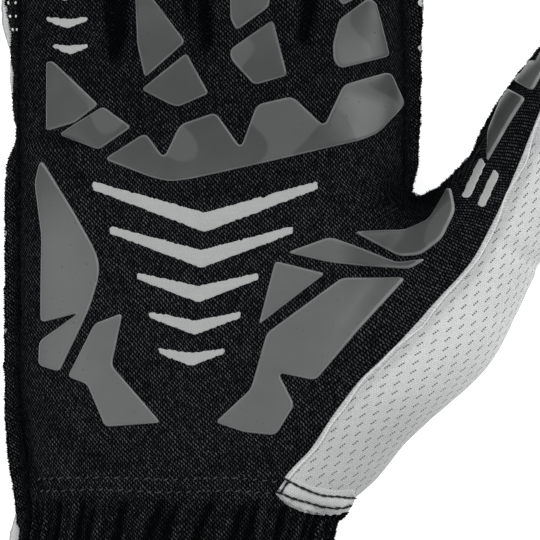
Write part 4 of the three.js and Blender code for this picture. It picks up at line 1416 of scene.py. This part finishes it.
def pale_floor():
    """The plain pale floor, slightly bright by itself."""
    finish = Finish("pale_floor", specular=0.1)
    finish.shader.inputs["Emission Color"].default_value = WHITE
    finish.shader.inputs["Emission Strength"].default_value = FLOOR_GLOW
    speckle = finish.cloud(6, 2)
    finish.colour(finish.mix(speckle, *FLOOR_TONES))
    finish.rough(0.8 + speckle * 0.1)
    return finish.material


# What repeats along a line

def line_tree(name, parts_of, axis, low, high):
    """A tree that sets a small shape at every step of a line, turned to a heading and varied in size."""
    tree = bpy.data.node_groups.new(name, "GeometryNodeTree")
    inputs = {"Line": "Geometry", "Seed": "Int", "Material": "Material"}
    inputs.update({size: "Float" for size in ("Pitch", "Length", "Thickness", "Sway")})
    for label, kind in inputs.items():
        tree.interface.new_socket(label, in_out="INPUT", socket_type=f"NodeSocket{kind}")
    tree.interface.new_socket("Mesh", in_out="OUTPUT", socket_type="NodeSocketGeometry")
    maker = Tree(tree)
    given = maker.node("NodeGroupInput").outputs
    shape, size, heading = parts_of(maker, given)
    curve = maker.node("GeometryNodeMeshToCurve", None, {"Mesh": given["Line"]}).outputs[0]
    values = {"Curve": curve, "Length": given["Pitch"]}
    steps = maker.node("GeometryNodeResampleCurve", {"mode": "LENGTH"}, values).outputs[0]
    shape = maker.node("GeometryNodeTransform", None, {"Geometry": shape, "Scale": size}).outputs[0]
    turn = maker.node("FunctionNodeAlignRotationToVector", {"axis": axis}, {"Vector": heading}).outputs[0]
    scale = random_vector(maker, low, high, given["Seed"])
    values = {"Points": steps, "Instance": shape, "Rotation": turn, "Scale": scale}
    placed = maker.node("GeometryNodeInstanceOnPoints", None, values).outputs[0]
    real = maker.node("GeometryNodeRealizeInstances", None, {"Geometry": placed}).outputs[0]
    smooth = maker.node("GeometryNodeSetShadeSmooth", None, {"Geometry": real}).outputs[0]
    values = {"Geometry": smooth, "Material": given["Material"]}
    dressed = maker.node("GeometryNodeSetMaterial", None, values).outputs[0]
    maker.node("NodeGroupOutput", None, {"Mesh": dressed})
    return tree


def stitch_parts(maker, given):
    """A bead of thread, its size, and a heading along the line that the sway turns aside."""
    values = {"Segments": 8, "Rings": 5, "Radius": 0.5}
    bead = maker.node("GeometryNodeMeshUVSphere", None, values).outputs[0]
    size = maker.vector(given["Length"], given["Thickness"], given["Thickness"])
    tangent = maker.node("GeometryNodeInputTangent").outputs[0]
    aside = random_vector(maker, (-0.12, -0.12, -0.08), (0.12, 0.12, 0.08), given["Seed"])
    aside = maker.added(aside, maker.vector(0.0, given["Sway"]))
    return bead, size, maker.added(tangent, aside)


def fibre_parts(maker, given):
    """A fine cone, its size, and a heading out of the cloth with a random sway."""
    values = {"Vertices": 4, "Radius Top": 0.15, "Radius Bottom": 0.5, "Depth": 1.0}
    cone = maker.node("GeometryNodeMeshCone", None, values).outputs[0]
    size = maker.vector(given["Thickness"], given["Thickness"], given["Length"])
    settings = {"data_type": "FLOAT_VECTOR"}
    out = maker.node("GeometryNodeInputNamedAttribute", settings, {"Name": "out"}).outputs[0]
    values = {0: random_vector(maker, (-1, -1, -1), (1, 1, 1), given["Seed"]), "Scale": given["Sway"]}
    sway = maker.node("ShaderNodeVectorMath", {"operation": "SCALE"}, values).outputs[0]
    return cone, size, maker.added(out, sway)


def random_vector(maker, low, high, seed):
    values = {"Min": low, "Max": high}
    made = maker.node("FunctionNodeRandomValue", {"data_type": "FLOAT_VECTOR"}, values)
    maker.tree.links.new(seed, made.inputs["Seed"])
    return made.outputs[0]


def tree_inputs(stitch, material):
    """The inputs of a line tree, with its lengths in metres."""
    pitch, length, thickness, sway, seed = stitch
    return {
        "Pitch": pitch / 1000, "Length": length / 1000, "Thickness": thickness / 1000, "Sway": sway,
        "Seed": seed, "Material": material,
    }


def grown_along(name, lines, tree, inputs, outward=None):
    """A piece that a tree grows along lines, as a plain mesh that rides on the glove."""
    points = np.concatenate(lines)
    edges, start = [], 0
    for line in lines:
        edges += [(start + i, start + i + 1) for i in range(len(line) - 1)]
        start += len(line)
    mesh = bpy.data.meshes.new(name)
    mesh.from_pydata(place(points).tolist(), edges, [])
    if outward is not None:
        attribute = mesh.attributes.new("out", "FLOAT_VECTOR", "POINT")
        attribute.data.foreach_set("vector", np.concatenate(outward).ravel())
    piece = bpy.data.objects.new(name, mesh)
    bpy.context.scene.collection.objects.link(piece)
    modifier = piece.modifiers.new("grow", "NODES")
    modifier.node_group = tree
    for item in tree.interface.items_tree:
        if item.in_out == "INPUT" and item.name in inputs:
            modifier[item.identifier] = inputs[item.name]
    evaluated = piece.evaluated_get(bpy.context.evaluated_depsgraph_get())
    result = bpy.data.meshes.new_from_object(evaluated)
    piece.modifiers.clear()
    piece.data = result
    bpy.data.meshes.remove(mesh)
    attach(piece, "root")
    return piece


# The glove

def chevron_corners(tip, span, thickness):
    x, y = tip
    low = y + span * CHEVRON_RISE
    high = low + thickness * CHEVRON_ARM_SHARE
    return [(x, y), (x + span, low), (x + span, high), (x, y + thickness), (x - span, high), (x - span, low)]


def frayed_outline(corners, cut, seed):
    """A printed outline that the knit under it makes slightly uneven."""
    outline = rounded_outline(corners, cut, 0.4)
    random_at = np.random.default_rng(seed)
    return outline + random_at.normal(0, TRIM_FRAY, outline.shape)


def vertex_normals(points, triangles):
    a, b, c = (points[triangles[:, i]] for i in range(3))
    face = np.cross(b - a, c - a)
    normals = np.zeros_like(points)
    for i in range(3):
        np.add.at(normals, triangles[:, i], face)
    return normals / np.maximum(np.linalg.norm(normals, axis=1, keepdims=True), 1e-9)


def pad_swell(seed):
    """Low bumps of a pad, which sinks slightly towards its middle."""
    def swell(plan, away):
        bumps = [noise.noise(Vector((p[0] / 9, p[1] / 9, seed * 3.7))) for p in plan.tolist()]
        return 0.1 * np.array(bumps) - 0.05 * smooth_step(1, 5, away)
    return swell


def hem_swell(plan, away):
    """The hem sinks along its two rows of stitches and runs out above them."""
    sunk = sum(bump(distance_to(smooth_line(row, 1), plan), 0.45) for row in HEM_ROWS)
    upper = smooth_line(HEM_ROWS[0], 1)
    above = plan[:, 1] - np.interp(plan[:, 0], upper[:, 0], upper[:, 1])
    return -HEM_SINK * sunk - (HEM_THICKNESS - HEM_SINK) * smooth_step(0, HEM_FADE, above)


def slow_drift(count, step, seed):
    """A slow random drift from -1 to 1 along a line of points."""
    return np.array([noise.noise(Vector((i * step, seed, 0))) for i in range(count)])[:, None]


black = black_knit()
black_edge_cloth = black_knit("black_edge_cloth", yarn=0.0095, glint=0.082, wide=1.0, tall=0.95)
light = light_knit()
light_hem_cloth = light_knit("light_hem_cloth", holes=0.0)
rubber = silicone()
silver = silver_film()
piping_cloth, highlit_ridge_cord = (seam_cord(name) for name in CORD_TONES)
black_thread, grey_thread, light_thread = (thread(name) for name in THREAD_TONES)

home, triangles, panel = glove_skin()
level = seam_level(home)
rise, shade = relief(home, level)
outer = home + slope_at(home) * rise[:, None]
outer[:, 2] = np.maximum(outer[:, 2], LOWEST)

flat = knit_uv(home, level)
for name, cloth, slot, uv in (
    ("palm_panel", black, "black_knit", flat),
    ("back_panel", light, "light_knit", flat[:, ::-1]),
    ("thumb_panel", light, "light_knit", thumb_uv(home)),
    ("cuff_panel", black, "black_knit", flat),
):
    cloth_panel(name, outer, triangles[panel == name], uv, shade, cloth)

fibres = line_tree("fibres", fibre_parts, "Z", (0.7, 0.7, 0.35), (1.3, 1.3, 1.25))
stitches = line_tree("stitches", stitch_parts, "X", (0.86, 0.85, 0.85), (1.06, 1.15, 1.15))
ground = Ground(outer, triangles)

# Raw seam edge: the black palm cloth over the light back cloth
edge_pieces, fibre_lines, fibre_outs, tack_lines = [], [], [], []
for number, chain in enumerate(seam_chains(triangles, panel)):
    out = slope_at(home[chain])
    joined = resampled(np.concatenate([home[chain], out], axis=1), 0.45)
    line = evened(joined[:, :3], 2)
    out = evened(joined[:, 3:], 2) * (1, 1, 0)
    out /= np.linalg.norm(out, axis=1, keepdims=True)
    width = edge_widths(line, out)
    black_edge, rim = seam_edge(
        f"seam_edge_black_{number + 1}", line, out, width, EDGE_GAP, EDGE_LAYER, BLACK_FRAY,
        BLACK_EDGE_SEED + number, black_edge_cloth,
    )
    light_width = np.maximum(width - LIGHT_SET_BACK + light_beyond(line, out), LEAST_EDGE)
    light_edge, _ = seam_edge(
        f"seam_edge_light_{number + 1}", line, out, light_width, -EDGE_LAYER, -EDGE_GAP, LIGHT_FRAY,
        LIGHT_EDGE_SEED + number, light_hem_cloth,
    )
    edge_pieces.append((black_edge, light_edge))
    fibre_lines.append(rim)
    fibre_outs.append(out)
    tacked = (out[:, 0] < -0.5) & (line[:, 0] < LEFT_SIDE)
    tacked &= (line[:, 1] > TACKS_FROM) & (line[:, 1] < TACKS_TO)
    if tacked.any():
        for share in TACK_COLUMNS:
            tack_lines.append((line + out * (width * share)[:, None] + (0, 0, EDGE_LAYER * 1.1))[tacked])

fuzz = grown_along(
    "seam_fuzz", fibre_lines, fibres, tree_inputs(EDGE_FIBRE, black_edge_cloth), fibre_outs,
)
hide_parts("seam_flange")
tacks = grown_along(
    "little_finger_tacks", tack_lines, stitches, tree_inputs(EDGE_TACK, light_thread),
)

# Grip pads and silver trim
on_palm = []
for number, (name, cut, corners) in enumerate(PADS):
    outline = rounded_outline(corners, cut)
    patch = applied_patch(name, outline, ground, PAD, rubber, pad_swell(number))
    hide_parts(name)
    on_palm.append(patch)

trim = [(f"palm_chevron_{i + 1}", chevron_corners(*row), 0.5) for i, row in enumerate(PALM_CHEVRONS)]
trim += [(f"little_chevron_{i + 1}", chevron_corners(*row), 0.4) for i, row in enumerate(LITTLE_CHEVRONS)]
trim += [(f"thumb_bar_{i + 1}", corners, 0.4) for i, corners in enumerate(THUMB_BARS)]
for number, (name, corners, cut) in enumerate(trim):
    outline = frayed_outline(corners, cut, TRIM_SEED + number)
    patch = applied_patch(name, outline, ground, TRIM, silver)
    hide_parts(name)
    on_palm.append(patch)

# Thumb seam: pale cord with a thinner ridge, and the turned-in hem with its stitches
seam_run = resampled(PIPING_LINE, 0.5)[8:-12]
spots, ups = ground.under(seam_run)
spots, ups = evened(spots, 2), evened(ups, 3)
side = np.cross(np.gradient(spots, axis=0), ups)
side /= np.linalg.norm(side, axis=1, keepdims=True)
middle = spots + ups * 0.15 + side * (0.05 + 0.12 * slow_drift(len(spots), 0.09, 1.7))
cord = swept_cord("thumb_piping", middle, ups, CORD, piping_cloth, sides=10, twist=0.04)
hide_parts("thumb_piping")
# The ridge carries a painted highlight along the fold of the cord
middle = spots + ups * 0.5 + side * (0.24 + 1.05 * slow_drift(len(spots), 0.055, 9.2))
ridge = swept_cord("thumb_piping_ridge", middle, ups, RIDGE, highlit_ridge_cord, sides=8)
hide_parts("thumb_piping")

hem_outline = rounded_outline(HEM_BAND, 0.8)
on_edge = smooth_step(1.2, 0.4, distance_to(HEM_LINE, hem_outline))
hem_outline[:, 1] += HEM_RIPPLE * on_edge * np.sin(hem_outline[:, 0] * 2 * math.pi / HEM_RIPPLE_PITCH)
hem = applied_patch("thumb_hem", hem_outline, ground, HEM, light_hem_cloth, hem_swell)
# Painted shade over the hem, like the thumb's low end
set_share(hem, "shade", np.full(len(hem.data.vertices), HEM_SHADE))
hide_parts("thumb_hem")


def stitch_rows(name, rows, lift, stitch, material):
    """Rows of stitches, lifted off the cloth."""
    lines = []
    for row in rows:
        spots, ups = ground.under(resampled(smooth_line(row, 1), 0.6))
        lines.append(evened(spots, 1) + evened(ups, 2) * lift)
    return grown_along(name, lines, stitches, tree_inputs(stitch, material))


hem_rows = HEM_ROWS + [HEM_TACK]
hem_stitches = stitch_rows("hem_stitches", hem_rows, HEM_THICKNESS - 0.08, HEM_STITCH, black_thread)
wrist_stitches = stitch_rows("wrist_stitches", WRIST_ROWS, 0.3, WRIST_STITCH, grey_thread)

# The pads and trim, the black seam edges, the fuzz, the tacks and the wrist stitches, gathered in a list that
# nothing keeps
on_palm + [pair[0] for pair in edge_pieces] + [fuzz, tacks, wrist_stitches]


# Floor, light and camera

def soft_light(name, spot, size, power):
    """A large soft lamp that points at the glove."""
    lamp = bpy.data.lights.new(name, "AREA")
    lamp.shape = "RECTANGLE"
    lamp.size, lamp.size_y = size
    lamp.energy = power
    holder = bpy.data.objects.new(name, lamp)
    holder.location = spot
    holder.rotation_euler = (Vector(LAMP_TARGET) - Vector(spot)).to_track_quat("-Z", "Y").to_euler()
    bpy.context.scene.collection.objects.link(holder)


floor_mesh = bpy.data.meshes.new("floor")
floor_corners = [(x * FLOOR_REACH, y * FLOOR_REACH, 0) for x, y in ((-1, -1), (1, -1), (1, 1), (-1, 1))]
floor_mesh.from_pydata(floor_corners, [], [(0, 1, 2, 3)])
floor_mesh.materials.append(pale_floor())
floor = bpy.data.objects.new("floor", floor_mesh)
bpy.context.scene.collection.objects.link(floor)

for lamp in LAMPS:
    soft_light(*lamp)

world = bpy.data.worlds.new("studio")
world.use_nodes = True
world.node_tree.nodes["Background"].inputs[0].default_value = WHITE
world.node_tree.nodes["Background"].inputs[1].default_value = WORLD_LIGHT
bpy.context.scene.world = world
bpy.context.scene.view_settings.view_transform = "Standard"

camera_data = bpy.data.cameras.new("camera")
camera_data.sensor_width = SENSOR
camera_data.lens = SENSOR * CAMERA_HEIGHT / FRAME_WIDTH
camera_data.clip_start = 0.01
camera = bpy.data.objects.new("camera", camera_data)
camera.location = Vector(place(CAMERA_OVER)) + Vector((0, 0, CAMERA_HEIGHT))
bpy.context.scene.collection.objects.link(camera)
bpy.context.scene.camera = camera
